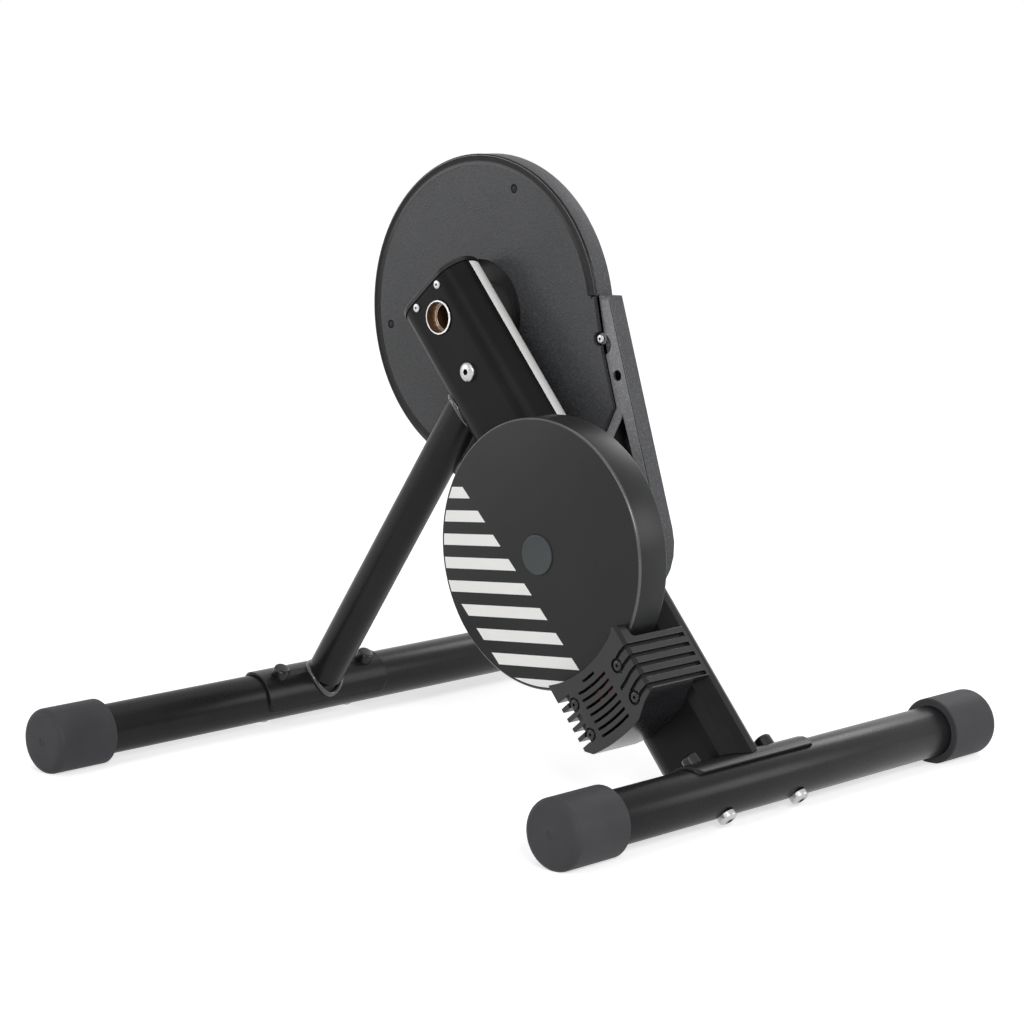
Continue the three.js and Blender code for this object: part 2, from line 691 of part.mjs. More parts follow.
function legNut(bar, y, angle) {
  const radius = LEG_NUT_DIAMETER / 2;
  const bore = LEG_BOLT_DIAMETER / 2 + CLEARANCE;
  const dome = roundedEdge(0, radius, LEG_NUT_REACH, LEG_NUT_DOME);
  const depth = LEG_BOLT_REACH + CLEARANCE;
  const blind = [[0, 0], [bore, 0], [bore, depth], [0, depth]];
  const hole = turnedAlong(blind, bar, y, pointing(angle), SMALL_STEPS);
  const cope = rod(WELD_RADIUS * 2, bar, y - radius * 2, y + radius * 2, WIDE_STEPS);
  const body = turnedAlong([[0, 0], [radius, 0], ...dome], bar, y, pointing(angle), SMALL_STEPS);
  return without(body, [hole, cope]);
}

const FEET = [
  ['front', FRONT_BAR, FRONT_FOOT_LENGTH, FRONT_BOLT_ANGLE, FRONT_BOLT_SPACING],
  ['rear', REAR_BAR, REAR_FOOT_LENGTH, REAR_BOLT_ANGLE, REAR_BOLT_SPACING],
];
const SIDES = [['left', -1], ['right', 1]];
for (const [end, bar, length, angle, spacing] of FEET) {
  addNode(`${end}_floor_bar`, floorBar(bar, length, angle, spacing), blackSteel);
  for (const [sideName, side] of SIDES) {
    const y = BEAM_CENTRE_Y + side * spacing * HALF_SHARE;
    addNode(`foot_cap_${end}_${sideName}`, footCap(bar, length, side), rubber);
    addNode(`${end}_leg_bolt_${sideName}`, legBolt(bar, y, angle), silver);
    addNode(`${end}_leg_nut_${sideName}`, legNut(bar, y, angle), darkSteel);
  }
}
addNode('front_saddle', saddle(
  FRONT_BAR, FRONT_SADDLE_START, FRONT_SADDLE_END, FRONT_BOLT_ANGLE, FRONT_BOLT_SPACING,
), blackSteel);
addNode('rear_saddle', saddle(
  REAR_BAR, REAR_SADDLE_START, REAR_SADDLE_END, REAR_BOLT_ANGLE, REAR_BOLT_SPACING,
), blackSteel);

// Main beam
const SLEEVE_BORE = SHAFT_BEARING_DIAMETER + CLEARANCE * 2;
const SLEEVE_DIAMETER = SLEEVE_BORE + SLEEVE_WALL * 2;
const nearWallFar = BEAM_NEAR_Y + BEAM_WALL;
const farWallNear = BEAM_FAR_Y - BEAM_WALL;
const endScrewPlaces = [-HALF_SHARE, HALF_SHARE].map((side) => {
  return beamPlace(-END_SCREW_DEPTH, side * END_SCREW_SPACING);
});
const faceScrewPlace = beamPlace(FACE_SCREW_DISTANCE, BEAM_SHIFT);
const studPlaces = STUD_DISTANCES.map((distance) => beamPlace(distance, 0));

// Round cut along Y that clears a part of a given diameter and runs past both of its ends.
function clearHole(diameter, centre, near, far, steps) {
  return rod(diameter + CLEARANCE * 2, centre, near - CUT_OVERRUN, far + CUT_OVERRUN, steps);
}

const beamCuts = [
  beamBody(BEAM_WALL, -BEAM_TOP_REACH - CUT_OVERRUN, BEAM_LENGTH + CUT_OVERRUN),
  below(BEAM_FOOT_HEIGHT, BEAM_LENGTH),
  rod(WELD_RADIUS * 2, REAR_BAR, BEAM_NEAR_Y - CUT_OVERRUN, BEAM_FAR_Y + CUT_OVERRUN, WIDE_STEPS),
  clearHole(AXLE_DIAMETER, AXLE, BEAM_NEAR_Y, BEAM_FAR_Y, ROUND_STEPS),
  clearHole(SLEEVE_DIAMETER, FLYWHEEL_AXIS, BEAM_NEAR_Y, BEAM_FAR_Y, ROUND_STEPS),
  clearHole(FACE_SCREW_SHANK_DIAMETER, faceScrewPlace, BEAM_NEAR_Y, nearWallFar, SMALL_STEPS),
];
for (const place of endScrewPlaces) {
  beamCuts.push(clearHole(END_SCREW_SHANK_DIAMETER, place, BEAM_NEAR_Y, nearWallFar, SMALL_STEPS));
}
for (const place of studPlaces) {
  beamCuts.push(clearHole(STUD_DIAMETER, place, farWallNear, BEAM_FAR_Y, SMALL_STEPS));
}
addNode('main_beam', without(beamBody(0, -BEAM_TOP_REACH, BEAM_LENGTH), beamCuts), blackSteel);

// Beam end cap
const plateFar = -BEAM_TOP_REACH - CLEARANCE;
const plateNear = plateFar - END_PLATE_THICKNESS;
const plugBores = endScrewPlaces.map((place) => {
  const far = BEAM_NEAR_Y + END_SCREW_LENGTH + CLEARANCE;
  return rod(END_SCREW_SHANK_DIAMETER + CLEARANCE * 2, place, BEAM_NEAR_Y, far, SMALL_STEPS);
});
addNode('beam_end_cap', without(union([
  beamBody(-END_PLATE_OVERHANG, plateNear + END_PLATE_EDGE, plateFar),
  beamBody(END_PLATE_EDGE - END_PLATE_OVERHANG, plateNear, plateFar),
  beamBody(BEAM_WALL + CLEARANCE, plateFar - END_PLATE_EDGE, plateFar + END_PLUG_DEPTH),
]), plugBores), blackPlastic);

// A button head screw along Y, seated on a face at a place, pointing to the drive side.
function buttonScrew(place, face, headDiameter, headHeight, shankDiameter, length) {
  const seat = face - CLEARANCE;
  const crown = seat - headHeight;
  const head = headDiameter / 2;
  const shank = shankDiameter / 2;
  return turned([
    [0, crown],
    [head * CROWN_SHARE, crown],
    [head * SHOULDER_SHARE, crown + headHeight * SHOULDER_RISE_SHARE],
    [head, seat],
    [shank, seat],
    [shank, face + length],
    [0, face + length],
  ], place, SMALL_STEPS);
}

endScrewPlaces.forEach((place, index) => {
  addNode(`end_cap_screw_${index + 1}`, buttonScrew(
    place, BEAM_NEAR_Y, END_SCREW_HEAD_DIAMETER, END_SCREW_HEAD_HEIGHT,
    END_SCREW_SHANK_DIAMETER, END_SCREW_LENGTH,
  ), silver);
});
addNode('beam_face_screw', buttonScrew(
  faceScrewPlace, BEAM_NEAR_Y, FACE_SCREW_HEAD_DIAMETER, FACE_SCREW_HEAD_HEIGHT,
  FACE_SCREW_SHANK_DIAMETER, FACE_SCREW_LENGTH,
), silver);

// Front strut
const strutLength = STRUT_TOP.distanceTo(FRONT_BAR);
const beamCope = beamBody(-CLEARANCE, -BEAM_TOP_REACH, BEAM_LENGTH);

function strutRod(radius, top) {
  const profile = [[0, top], [radius, top], [radius, strutLength], [0, strutLength]];
  return turnedAlong(profile, STRUT_TOP, BEAM_CENTRE_Y, STRUT_DIRECTION, ROUND_STEPS);
}

addNode('front_strut', without(strutRod(STRUT_DIAMETER / 2, 0), [
  strutRod(STRUT_DIAMETER / 2 - STRUT_WALL, -CUT_OVERRUN),
  rod(WELD_RADIUS * 2, FRONT_BAR, BEAM_NEAR_Y - CUT_OVERRUN, BEAM_FAR_Y + CUT_OVERRUN, WIDE_STEPS),
  beamCope,
]), blackSteel);

// Axle tube
const pulleySeat = PULLEY_BEARING_BORE / 2 - CLEARANCE;
const freehubSeat = FREEHUB_BEARING_BORE / 2 - CLEARANCE;
const hubNearY = BEAM_FAR_Y + DRIVE_HUB_NEAR_GAP;
const hubFarY = FAR_FACE_Y + DRIVE_HUB_FAR_REACH;
const axleStepY = BEAM_FAR_Y + CLEARANCE * 2;
const axleEndY = FAR_DROPOUT_Y - END_CAP_FACE - CLEARANCE;
const mouthEndY = NEAR_DROPOUT_Y + AXLE_MOUTH_DEPTH;
addNode('axle_tube', turned([
  [AXLE_MOUTH_BORE / 2, NEAR_DROPOUT_Y],
  [AXLE_DIAMETER / 2 - AXLE_MOUTH_BEVEL, NEAR_DROPOUT_Y],
  [AXLE_DIAMETER / 2, NEAR_DROPOUT_Y + AXLE_MOUTH_BEVEL],
  [AXLE_DIAMETER / 2, axleStepY],
  [pulleySeat, axleStepY],
  [pulleySeat, hubFarY - CLEARANCE],
  [freehubSeat, hubFarY - CLEARANCE],
  [freehubSeat, axleEndY],
  [AXLE_THROUGH_BORE / 2, axleEndY],
  [AXLE_THROUGH_BORE / 2, BEAM_FAR_Y],
  [AXLE_INNER_BORE / 2, BEAM_FAR_Y],
  [AXLE_INNER_BORE / 2, mouthEndY],
  [AXLE_MOUTH_BORE / 2, mouthEndY],
], AXLE, ROUND_STEPS), bronze);

// Outline of the belt guard, pulled in by an inset. It narrows from the axle to the flywheel.
function guardOutline(inset) {
  const wall = GUARD_WALL_DISTANCE - inset;
  const end = GUARD_END_RADIUS - inset;
  const lean = Math.asin((wall - end) / FLYWHEEL_DISTANCE);
  const corner = GUARD_CORNER_DISTANCE + inset;
  const rise = (wall - corner * Math.sin(lean)) / Math.cos(lean);
  const rootAlong = corner - GUARD_ROOT_DEPTH * ALONG.x;
  const rootRise = rise - GUARD_ROOT_DEPTH * ACROSS.x;
  const turn = QUARTER_TURN - lean;
  const middle = ALONG.angle();
  return [
    beamPlace(rootAlong, -rootRise),
    beamPlace(corner, -rise),
    ...arc(FLYWHEEL_AXIS, end, middle - turn, middle + turn, SMALL_STEPS),
    beamPlace(corner, rise),
    beamPlace(rootAlong, rootRise),
  ];
}

// Outline of the tapering part of the casing cover.
function webOutline(gap) {
  const upper = WEB_EDGE.map(([along, across]) => beamPlace(along, across + gap));
  const lower = WEB_EDGE.map(([along, across]) => beamPlace(along, -across - gap));
  const middle = ALONG.angle();
  const radius = WEB_END_RADIUS + gap;
  const end = arc(FLYWHEEL_AXIS, radius, middle - QUARTER_TURN, middle + QUARTER_TURN, SMALL_STEPS);
  return [...lower, ...end, ...upper.reverse()];
}

const casingScrewPlaces = CASING_SCREW_ANGLES.map((angle) => {
  return pointing(angle).multiplyScalar(CASING_SCREW_CIRCLE / 2).add(AXLE);
});
const guardScrewPlace = beamPlace(...GUARD_SCREW_PLACE);
const casingScrewSeat = COVER_Y + CASING_SCREW_SINK;

// Casing cover
const rimRadius = RIM_DIAMETER / 2;
const spigotRadius = SHELL_DIAMETER / 2 - CASING_WALL - COVER_SPIGOT_GAP;
const coverBackY = COVER_Y + COVER_THICKNESS;
const coverRing = turned([
  [PLATE_HOLE_DIAMETER / 2, COVER_Y],
  [PLATE_DIAMETER / 2, COVER_Y],
  [rimRadius - COVER_EDGE_ROUNDING, COVER_Y + COVER_BAND_DROP],
  [rimRadius, COVER_Y + COVER_BAND_DROP + COVER_EDGE_ROUNDING],
  [rimRadius, COVER_Y + COVER_LIP_HEIGHT],
  [spigotRadius, COVER_Y + COVER_LIP_HEIGHT],
  [spigotRadius, coverBackY],
  [PLATE_HOLE_DIAMETER / 2, coverBackY],
], AXLE, WIDE_STEPS);
const coverCutNear = COVER_Y - CUT_OVERRUN;
const coverCutFar = coverBackY + CUT_OVERRUN;
const flangeZone = slab(guardOutline(-CLEARANCE), coverCutNear, coverCutFar).subtract(
  rod(WEB_DISC_DIAMETER, AXLE, coverCutNear - CUT_OVERRUN, coverCutFar + CUT_OVERRUN, WIDE_STEPS),
);
const coverCuts = [
  clearHole(GUARD_POCKET_DIAMETER, guardScrewPlace, COVER_Y, coverBackY, SMALL_STEPS),
  clearHole(PULLEY_BOSS_DIAMETER + CLEARANCE * 2, FLYWHEEL_AXIS, COVER_Y, coverBackY, ROUND_STEPS),
];
for (const place of studPlaces) {
  coverCuts.push(clearHole(STUD_DIAMETER, place, COVER_Y, coverBackY, SMALL_STEPS));
}
for (const place of casingScrewPlaces) {
  coverCuts.push(clearHole(CASING_SCREW_SHANK_DIAMETER, place, COVER_Y, coverBackY, SMALL_STEPS));
  const sink = CASING_SCREW_HEAD_DIAMETER + CLEARANCE * 2;
  coverCuts.push(rod(sink, place, coverCutNear, casingScrewSeat, SMALL_STEPS));
}
const web = slab(webOutline(0), COVER_Y, coverBackY);
addNode('casing_cover', without(coverRing.subtract(flangeZone).add(web), coverCuts), blackPlastic);

// Casing shell
const shellRadius = SHELL_DIAMETER / 2;
const farHole = FAR_HOLE_DIAMETER / 2;
const farInnerY = FAR_FACE_Y - FAR_WALL;
const innerInset = CASING_WALL + (FAR_BEVEL_INSET * (farInnerY - FAR_RIM_Y)) / FAR_BEVEL_DEPTH;
const shellDisc = turned([
  [farHole, SHELL_Y],
  [shellRadius, SHELL_Y],
  [shellRadius, FAR_RIM_Y],
  [shellRadius - FAR_BEVEL_INSET, FAR_FACE_Y],
  [farHole, FAR_FACE_Y],
], AXLE, WIDE_STEPS);
const shellRoom = turned([
  [0, SHELL_Y - CUT_OVERRUN],
  [shellRadius - CASING_WALL, SHELL_Y - CUT_OVERRUN],
  [shellRadius - CASING_WALL, FAR_RIM_Y],
  [shellRadius - innerInset, farInnerY],
  [0, farInnerY],
], AXLE, WIDE_STEPS);
const guardBlock = union([
  slab(guardOutline(0), FLANGE_Y, FAR_RIM_Y),
  taper(guardOutline(0), FAR_RIM_Y, guardOutline(FAR_BEVEL_INSET), FAR_FACE_Y),
]).subtract(rod(FAR_HOLE_DIAMETER, AXLE, FLANGE_Y - CUT_OVERRUN, FAR_FACE_Y + CUT_OVERRUN, WIDE_STEPS));
const flangeBackY = FLANGE_Y + GUARD_FLANGE_THICKNESS;
const guardRoom = union([
  slab(guardOutline(CASING_WALL), flangeBackY, FAR_RIM_Y),
  taper(guardOutline(CASING_WALL), FAR_RIM_Y, guardOutline(innerInset), farInnerY),
]);
const flangeCutFar = flangeBackY + CUT_OVERRUN;

// Corner places of a flat outline moved away from its middle.
function grown(outline, reach) {
  const middle = outline.reduce((total, point) => total.clone().add(point)).divideScalar(outline.length);
  return outline.map((point) => {
    const spoke = point.clone().sub(middle);
    return spoke.setLength(spoke.length() + reach).add(middle);
  });
}

// Window in the flange, with a bevel round it
const windowOutline = WINDOW_CORNERS.map((pair) => beamPlace(...pair));
const windowBevel = taper(
  grown(windowOutline, WINDOW_BEVEL_WIDTH * 2), FLANGE_Y - WINDOW_BEVEL_DEPTH,
  windowOutline, FLANGE_Y + WINDOW_BEVEL_DEPTH,
);

// Sloping strip along the flange's inner edge, from the disc to the screw's notch
function edgeStrip(width) {
  const [[startAlong, startAcross], [endAlong, endAcross]] = WEB_EDGE;
  return [
    beamPlace(startAlong, startAcross - CUT_OVERRUN),
    beamPlace(endAlong, endAcross - CUT_OVERRUN),
    beamPlace(endAlong, endAcross + width),
    beamPlace(startAlong, startAcross + width),
  ];
}
const flangeBevel = taper(
  edgeStrip(FLANGE_BEVEL_WIDTH * 2), FLANGE_Y - FLANGE_BEVEL_DEPTH,
  edgeStrip(0), FLANGE_Y + FLANGE_BEVEL_DEPTH,
);

// Fine seam between the flange and the wall
const seamFar = FLANGE_Y + SEAM_DEPTH;
const seam = slab(guardOutline(SEAM_INSET), coverCutNear, seamFar).subtract(
  slab(guardOutline(SEAM_INSET + SEAM_WIDTH), coverCutNear - CUT_OVERRUN, seamFar + CUT_OVERRUN),
);
const notchPlace = beamPlace(...GUARD_NOTCH_PLACE);
const shellCuts = [
  shellRoom,
  guardRoom,
  slab(webOutline(WEB_EDGE_GAP), coverCutNear, flangeCutFar),
  slab(windowOutline, coverCutNear, flangeCutFar),
  windowBevel,
  flangeBevel,
  seam,
  clearHole(GUARD_SCREW_SHANK_DIAMETER, guardScrewPlace, FLANGE_Y, flangeBackY, SMALL_STEPS),
  rod(GUARD_NOTCH_DIAMETER, notchPlace, coverCutNear, FLANGE_Y + GUARD_NOTCH_DEPTH, ROUND_STEPS),
  clearHole(GUARD_HOLE_DIAMETER, beamPlace(...GUARD_HOLE_PLACE), FLANGE_Y, flangeBackY, SMALL_STEPS),
];

// Post that stands on the casing's far wall, with a blind hole in its near end.
function post(place, top, diameter, holeDiameter, holeDepth) {
  const hole = rod(holeDiameter + CLEARANCE * 2, place, top - CUT_OVERRUN, top + holeDepth, SMALL_STEPS);
  return rod(diameter, place, top, farInnerY + FAR_WALL * HALF_SHARE, SMALL_STEPS).subtract(hole);
}

const shellHead = shellDisc.subtract(slab(guardOutline(0), coverCutNear, FLANGE_Y));
const casingHoleDepth = CASING_SCREW_LENGTH - COVER_THICKNESS + CASING_SCREW_SINK;
const posts = [
  post(
    guardScrewPlace, FLANGE_Y, GUARD_BOSS_DIAMETER, GUARD_SCREW_SHANK_DIAMETER,
    GUARD_SCREW_LENGTH + CLEARANCE,
  ),
  ...casingScrewPlaces.map((place) => post(
    place, FLANGE_Y, CASING_BOSS_DIAMETER, CASING_SCREW_SHANK_DIAMETER, casingHoleDepth,
  )),
  ...studPlaces.map((place) => post(
    place, FLANGE_Y, STUD_POST_DIAMETER, STUD_DIAMETER, STUD_CASING_GRIP - COVER_THICKNESS,
  )),
];
addNode('casing_shell', union([without(shellHead.add(guardBlock), shellCuts), ...posts]), guardPlastic);

casingScrewPlaces.forEach((place, index) => {
  addNode(`casing_screw_${index + 1}`, buttonScrew(
    place, casingScrewSeat, CASING_SCREW_HEAD_DIAMETER, CASING_SCREW_HEAD_HEIGHT,
    CASING_SCREW_SHANK_DIAMETER, CASING_SCREW_LENGTH - COVER_THICKNESS,
  ), darkSteel);
});
addNode('guard_screw', buttonScrew(
  guardScrewPlace, FLANGE_Y, GUARD_SCREW_HEAD_DIAMETER, GUARD_SCREW_HEAD_HEIGHT,
  GUARD_SCREW_SHANK_DIAMETER, GUARD_SCREW_LENGTH,
), silver);
studPlaces.forEach((place, index) => {
  const radius = STUD_DIAMETER / 2;
  addNode(`casing_stud_${index + 1}`, turned([
    [0, BEAM_FAR_Y - STUD_BEAM_GRIP],
    [radius, BEAM_FAR_Y - STUD_BEAM_GRIP],
    [radius, BEAM_FAR_Y + CLEARANCE],
    [STUD_COLLAR_DIAMETER / 2, BEAM_FAR_Y + CLEARANCE],
    [STUD_COLLAR_DIAMETER / 2, COVER_Y - CLEARANCE],
    [radius, COVER_Y - CLEARANCE],
    [radius, COVER_Y + STUD_CASING_GRIP - CLEARANCE],
    [0, COVER_Y + STUD_CASING_GRIP - CLEARANCE],
  ], place, SMALL_STEPS), darkSteel);
});

// Ribbed face shared by the belt and its pulleys: [height, place] pairs from near to far.
function ribbedFace(height, near) {
  const slope = (BELT_RIB_PITCH - BELT_RIB_CREST) / 2;
  const ribs = Array.from({ length: BELT_RIB_COUNT }, (_, index) => {
    const base = near + BELT_EDGE + index * BELT_RIB_PITCH;
    const root = height - BELT_RIB_DEPTH;
    return [[height, base], [root, base + slope], [root, base + slope + BELT_RIB_CREST]];
  });
  const end = near + BELT_EDGE + BELT_RIB_COUNT * BELT_RIB_PITCH;
  return [[height, near], ...ribs.flat(), [height, end], [height, end + BELT_EDGE]];
}

// Belt drive
const driveRadius = DRIVE_PULLEY_DIAMETER / 2;
const flywheelPulleyRadius = FLYWHEEL_PULLEY_DIAMETER / 2;
const beltFarY = BELT_NEAR_Y + BELT_WIDTH;
const beltMiddleY = (BELT_NEAR_Y + beltFarY) / 2;
const driveInner = driveRadius - DRIVE_RIM_THICKNESS;
const driveWebNear = beltMiddleY - DRIVE_WEB_THICKNESS / 2;
const driveWebFar = beltMiddleY + DRIVE_WEB_THICKNESS / 2;
const driveHub = DRIVE_HUB_DIAMETER / 2;
const bearingSeat = PULLEY_BEARING_DIAMETER / 2 + CLEARANCE;
const shoulder = bearingSeat - BEARING_SHOULDER;
const seatDepth = PULLEY_BEARING_INSET + PULLEY_BEARING_WIDTH + CLEARANCE;
const driveWheel = turned([
  [bearingSeat, hubNearY],
  [driveHub, hubNearY],
  [driveHub, driveWebNear],
  [driveInner, driveWebNear],
  [driveInner, BELT_NEAR_Y],
  ...ribbedFace(driveRadius, BELT_NEAR_Y),
  [driveInner, beltFarY],
  [driveInner, driveWebFar],
  [driveHub, driveWebFar],
  [driveHub, hubFarY],
  [bearingSeat, hubFarY],
  [bearingSeat, hubFarY - seatDepth],
  [shoulder, hubFarY - seatDepth],
  [shoulder, hubNearY + seatDepth],
  [bearingSeat, hubNearY + seatDepth],
], AXLE, DRIVE_STEPS);
const driveHoles = Array.from({ length: DRIVE_HOLE_COUNT }, (_, index) => {
  const turn = (FULL_TURN * index) / DRIVE_HOLE_COUNT;
  const place = pointing(turn).multiplyScalar(DRIVE_HOLE_CIRCLE / 2).add(AXLE);
  return clearHole(DRIVE_HOLE_DIAMETER, place, driveWebNear, driveWebFar, SMALL_STEPS);
});
addNode('drive_pulley', without(driveWheel, driveHoles), castBlack);

// Ring between two diameters and two places along Y.
function ring(bore, diameter, centre, near, far) {
  const inner = bore / 2;
  const outer = diameter / 2;
  return turned([[inner, near], [outer, near], [outer, far], [inner, far]], centre, ROUND_STEPS);
}

const pulleyBearingPlaces = [
  ['near', hubNearY + PULLEY_BEARING_INSET],
  ['far', hubFarY - PULLEY_BEARING_INSET - PULLEY_BEARING_WIDTH],
];
for (const [side, near] of pulleyBearingPlaces) {
  const far = near + PULLEY_BEARING_WIDTH;
  const bearing = ring(PULLEY_BEARING_BORE, PULLEY_BEARING_DIAMETER, AXLE, near, far);
  addNode(`pulley_bearing_${side}`, bearing, silver);
}

// Belt round both pulleys, as rings of its cross-section.
const beltSine = (driveRadius - flywheelPulleyRadius) / FLYWHEEL_DISTANCE;
const beltTurn = QUARTER_TURN - Math.asin(beltSine);
const beltSection = [
  ...ribbedFace(CLEARANCE, BELT_NEAR_Y),
  [CLEARANCE + BELT_BODY, beltFarY],
  [CLEARANCE + BELT_BODY, BELT_NEAR_Y],
];
function beltRings(centre, radius, start, end, steps) {
  return Array.from({ length: steps + 1 }, (_, index) => {
    const out = pointing(start + ((end - start) * index) / steps);
    return beltSection.map(([height, y]) => {
      const place = out.clone().multiplyScalar(radius + height).add(centre);
      return new THREE.Vector3(place.x, y, place.y);
    });
  });
}
const beamAngle = ALONG.angle();
addNode('drive_belt', skin([
  ...beltRings(
    FLYWHEEL_AXIS, flywheelPulleyRadius, beamAngle - beltTurn, beamAngle + beltTurn, SMALL_STEPS,
  ),
  ...beltRings(
    AXLE, driveRadius, beamAngle + beltTurn, beamAngle + FULL_TURN - beltTurn, DRIVE_STEPS,
  ),
], true), beltRubber);

const shaftBore = SHAFT_DIAMETER / 2 + CLEARANCE;
const shaftBearingInset = PULLEY_BEARING_INSET;
const nutCorner = SHAFT_NUT_FLATS / 2 / Math.cos(HALF_TURN / NUT_SIDES);
const nutNearY = beltFarY - SHAFT_NUT_HEIGHT;
const bossNearY = BEAM_FAR_Y - shaftBearingInset + CLEARANCE;
addNode('flywheel_pulley', turned([
  [shaftBore, bossNearY],
  [PULLEY_BOSS_DIAMETER / 2, bossNearY],
  [PULLEY_BOSS_DIAMETER / 2, BELT_NEAR_Y],
  ...ribbedFace(flywheelPulleyRadius, BELT_NEAR_Y),
  [nutCorner + CLEARANCE * 2, beltFarY],
  [nutCorner + CLEARANCE * 2, nutNearY - CLEARANCE],
  [shaftBore, nutNearY - CLEARANCE],
], FLYWHEEL_AXIS, ROUND_STEPS), darkSteel);
const nutOutline = arc(FLYWHEEL_AXIS, nutCorner, 0, FULL_TURN - FULL_TURN / NUT_SIDES, NUT_SIDES - 1);
const nutHole = clearHole(SHAFT_DIAMETER, FLYWHEEL_AXIS, nutNearY, beltFarY, ROUND_STEPS);
addNode('shaft_nut', slab(nutOutline, nutNearY, beltFarY).subtract(nutHole), silver);

// Flywheel, its cap and its shaft
const flywheelRadius = FLYWHEEL_DIAMETER / 2;
const capSeatY = FLYWHEEL_NEAR_Y + CENTRE_CAP_DEPTH;
const headSeatY = capSeatY + SHAFT_HEAD_HEIGHT;
const capRecess = CENTRE_CAP_DIAMETER / 2 + CENTRE_CAP_FIT;
const headRecess = SHAFT_HEAD_DIAMETER / 2 + CLEARANCE;
const dishY = FLYWHEEL_FAR_Y - FLYWHEEL_DISH_DEPTH;
const bossFarY = BEAM_NEAR_Y + shaftBearingInset - CLEARANCE;
addNode('flywheel', turned([
  [shaftBore, headSeatY],
  [headRecess, headSeatY],
  [headRecess, capSeatY],
  [capRecess, capSeatY],
  [capRecess, FLYWHEEL_NEAR_Y],
  [flywheelRadius - FLYWHEEL_EDGE_ROUNDING, FLYWHEEL_NEAR_Y],
  [flywheelRadius, FLYWHEEL_NEAR_Y + FLYWHEEL_EDGE_ROUNDING],
  [flywheelRadius, FLYWHEEL_FAR_Y - FLYWHEEL_EDGE_ROUNDING],
  [flywheelRadius - FLYWHEEL_EDGE_ROUNDING, FLYWHEEL_FAR_Y],
  [FLYWHEEL_DISH_DIAMETER / 2, FLYWHEEL_FAR_Y],
  [FLYWHEEL_DISH_DIAMETER / 2, dishY],
  [FLYWHEEL_HUB_DIAMETER / 2, dishY],
  [FLYWHEEL_HUB_DIAMETER / 2, FLYWHEEL_FAR_Y],
  [FLYWHEEL_BOSS_DIAMETER / 2, FLYWHEEL_FAR_Y],
  [FLYWHEEL_BOSS_DIAMETER / 2, bossFarY],
  [shaftBore, bossFarY],
], FLYWHEEL_AXIS, WIDE_STEPS), darkSteel);
const capFrontY = FLYWHEEL_NEAR_Y - CENTRE_CAP_RISE;
addNode('flywheel_centre_cap', turned([
  [0, capFrontY],
  [CENTRE_CAP_DIAMETER / 2 - CENTRE_CAP_EDGE, capFrontY],
  [CENTRE_CAP_DIAMETER / 2, capFrontY + CENTRE_CAP_EDGE],
  [CENTRE_CAP_DIAMETER / 2, capSeatY - CLEARANCE],
  [0, capSeatY - CLEARANCE],
], FLYWHEEL_AXIS, ROUND_STEPS), grey);
addNode('flywheel_shaft', turned([
  [0, capSeatY],
  [SHAFT_HEAD_DIAMETER / 2, capSeatY],
  [SHAFT_HEAD_DIAMETER / 2, headSeatY - CLEARANCE],
  [SHAFT_DIAMETER / 2, headSeatY - CLEARANCE],
  [SHAFT_DIAMETER / 2, beltFarY - SHAFT_END_MARGIN],
  [0, beltFarY - SHAFT_END_MARGIN],
], FLYWHEEL_AXIS, ROUND_STEPS), silver);

// Sleeve through the beam and the two bearings in it
const sleeveBore = SLEEVE_BORE / 2;
const sleeveSeat = shaftBearingInset + SHAFT_BEARING_WIDTH + CLEARANCE;
addNode('bearing_sleeve', turned([
  [sleeveBore, BEAM_NEAR_Y],
  [SLEEVE_DIAMETER / 2, BEAM_NEAR_Y],
  [SLEEVE_DIAMETER / 2, BEAM_FAR_Y],
  [sleeveBore, BEAM_FAR_Y],
  [sleeveBore, BEAM_FAR_Y - sleeveSeat],
  [sleeveBore - BEARING_SHOULDER, BEAM_FAR_Y - sleeveSeat],
  [sleeveBore - BEARING_SHOULDER, BEAM_NEAR_Y + sleeveSeat],
  [sleeveBore, BEAM_NEAR_Y + sleeveSeat],
], FLYWHEEL_AXIS, ROUND_STEPS), blackSteel);
const shaftBearingPlaces = [
  ['near', BEAM_NEAR_Y + shaftBearingInset],
  ['far', BEAM_FAR_Y - shaftBearingInset - SHAFT_BEARING_WIDTH],
];
for (const [side, near] of shaftBearingPlaces) {
  const far = near + SHAFT_BEARING_WIDTH;
  const bearing = ring(shaftBore * 2, SHAFT_BEARING_DIAMETER, FLYWHEEL_AXIS, near, far);
  addNode(`shaft_bearing_${side}`, bearing, silver);
}

// Freehub with straight splines, its outer bearing and the drive side end cap
const freehubNearY = hubFarY + CLEARANCE;
const freehubFarY = FAR_DROPOUT_Y - END_CAP_FLANGE - FREEHUB_END_GAP;
const splineNearY = freehubFarY - FREEHUB_SPLINE_LENGTH;
const splineRadius = FREEHUB_SPLINE_DIAMETER / 2;
const splineRoot = splineRadius - FREEHUB_SPLINE_DEPTH;
const splinePitch = FULL_TURN / FREEHUB_SPLINE_COUNT;
const splineOutline = Array.from({ length: FREEHUB_SPLINE_COUNT }, (_, index) => {
  const start = index * splinePitch;
  const edge = start + splinePitch * FREEHUB_SPLINE_SHARE;
  return [
    ...arc(AXLE, splineRadius, start, edge, SPLINE_STEPS),
    ...arc(AXLE, splineRoot, edge, start + splinePitch, SPLINE_STEPS),
  ];
}).flat();
const freehubBore = FREEHUB_BEARING_DIAMETER / 2 + CLEARANCE;
const freehubRoom = turned([
  [0, freehubNearY + FREEHUB_FLANGE_LENGTH],
  [freehubBore, freehubNearY + FREEHUB_FLANGE_LENGTH],
  [freehubBore, freehubFarY + CUT_OVERRUN],
  [0, freehubFarY + CUT_OVERRUN],
], AXLE, ROUND_STEPS);
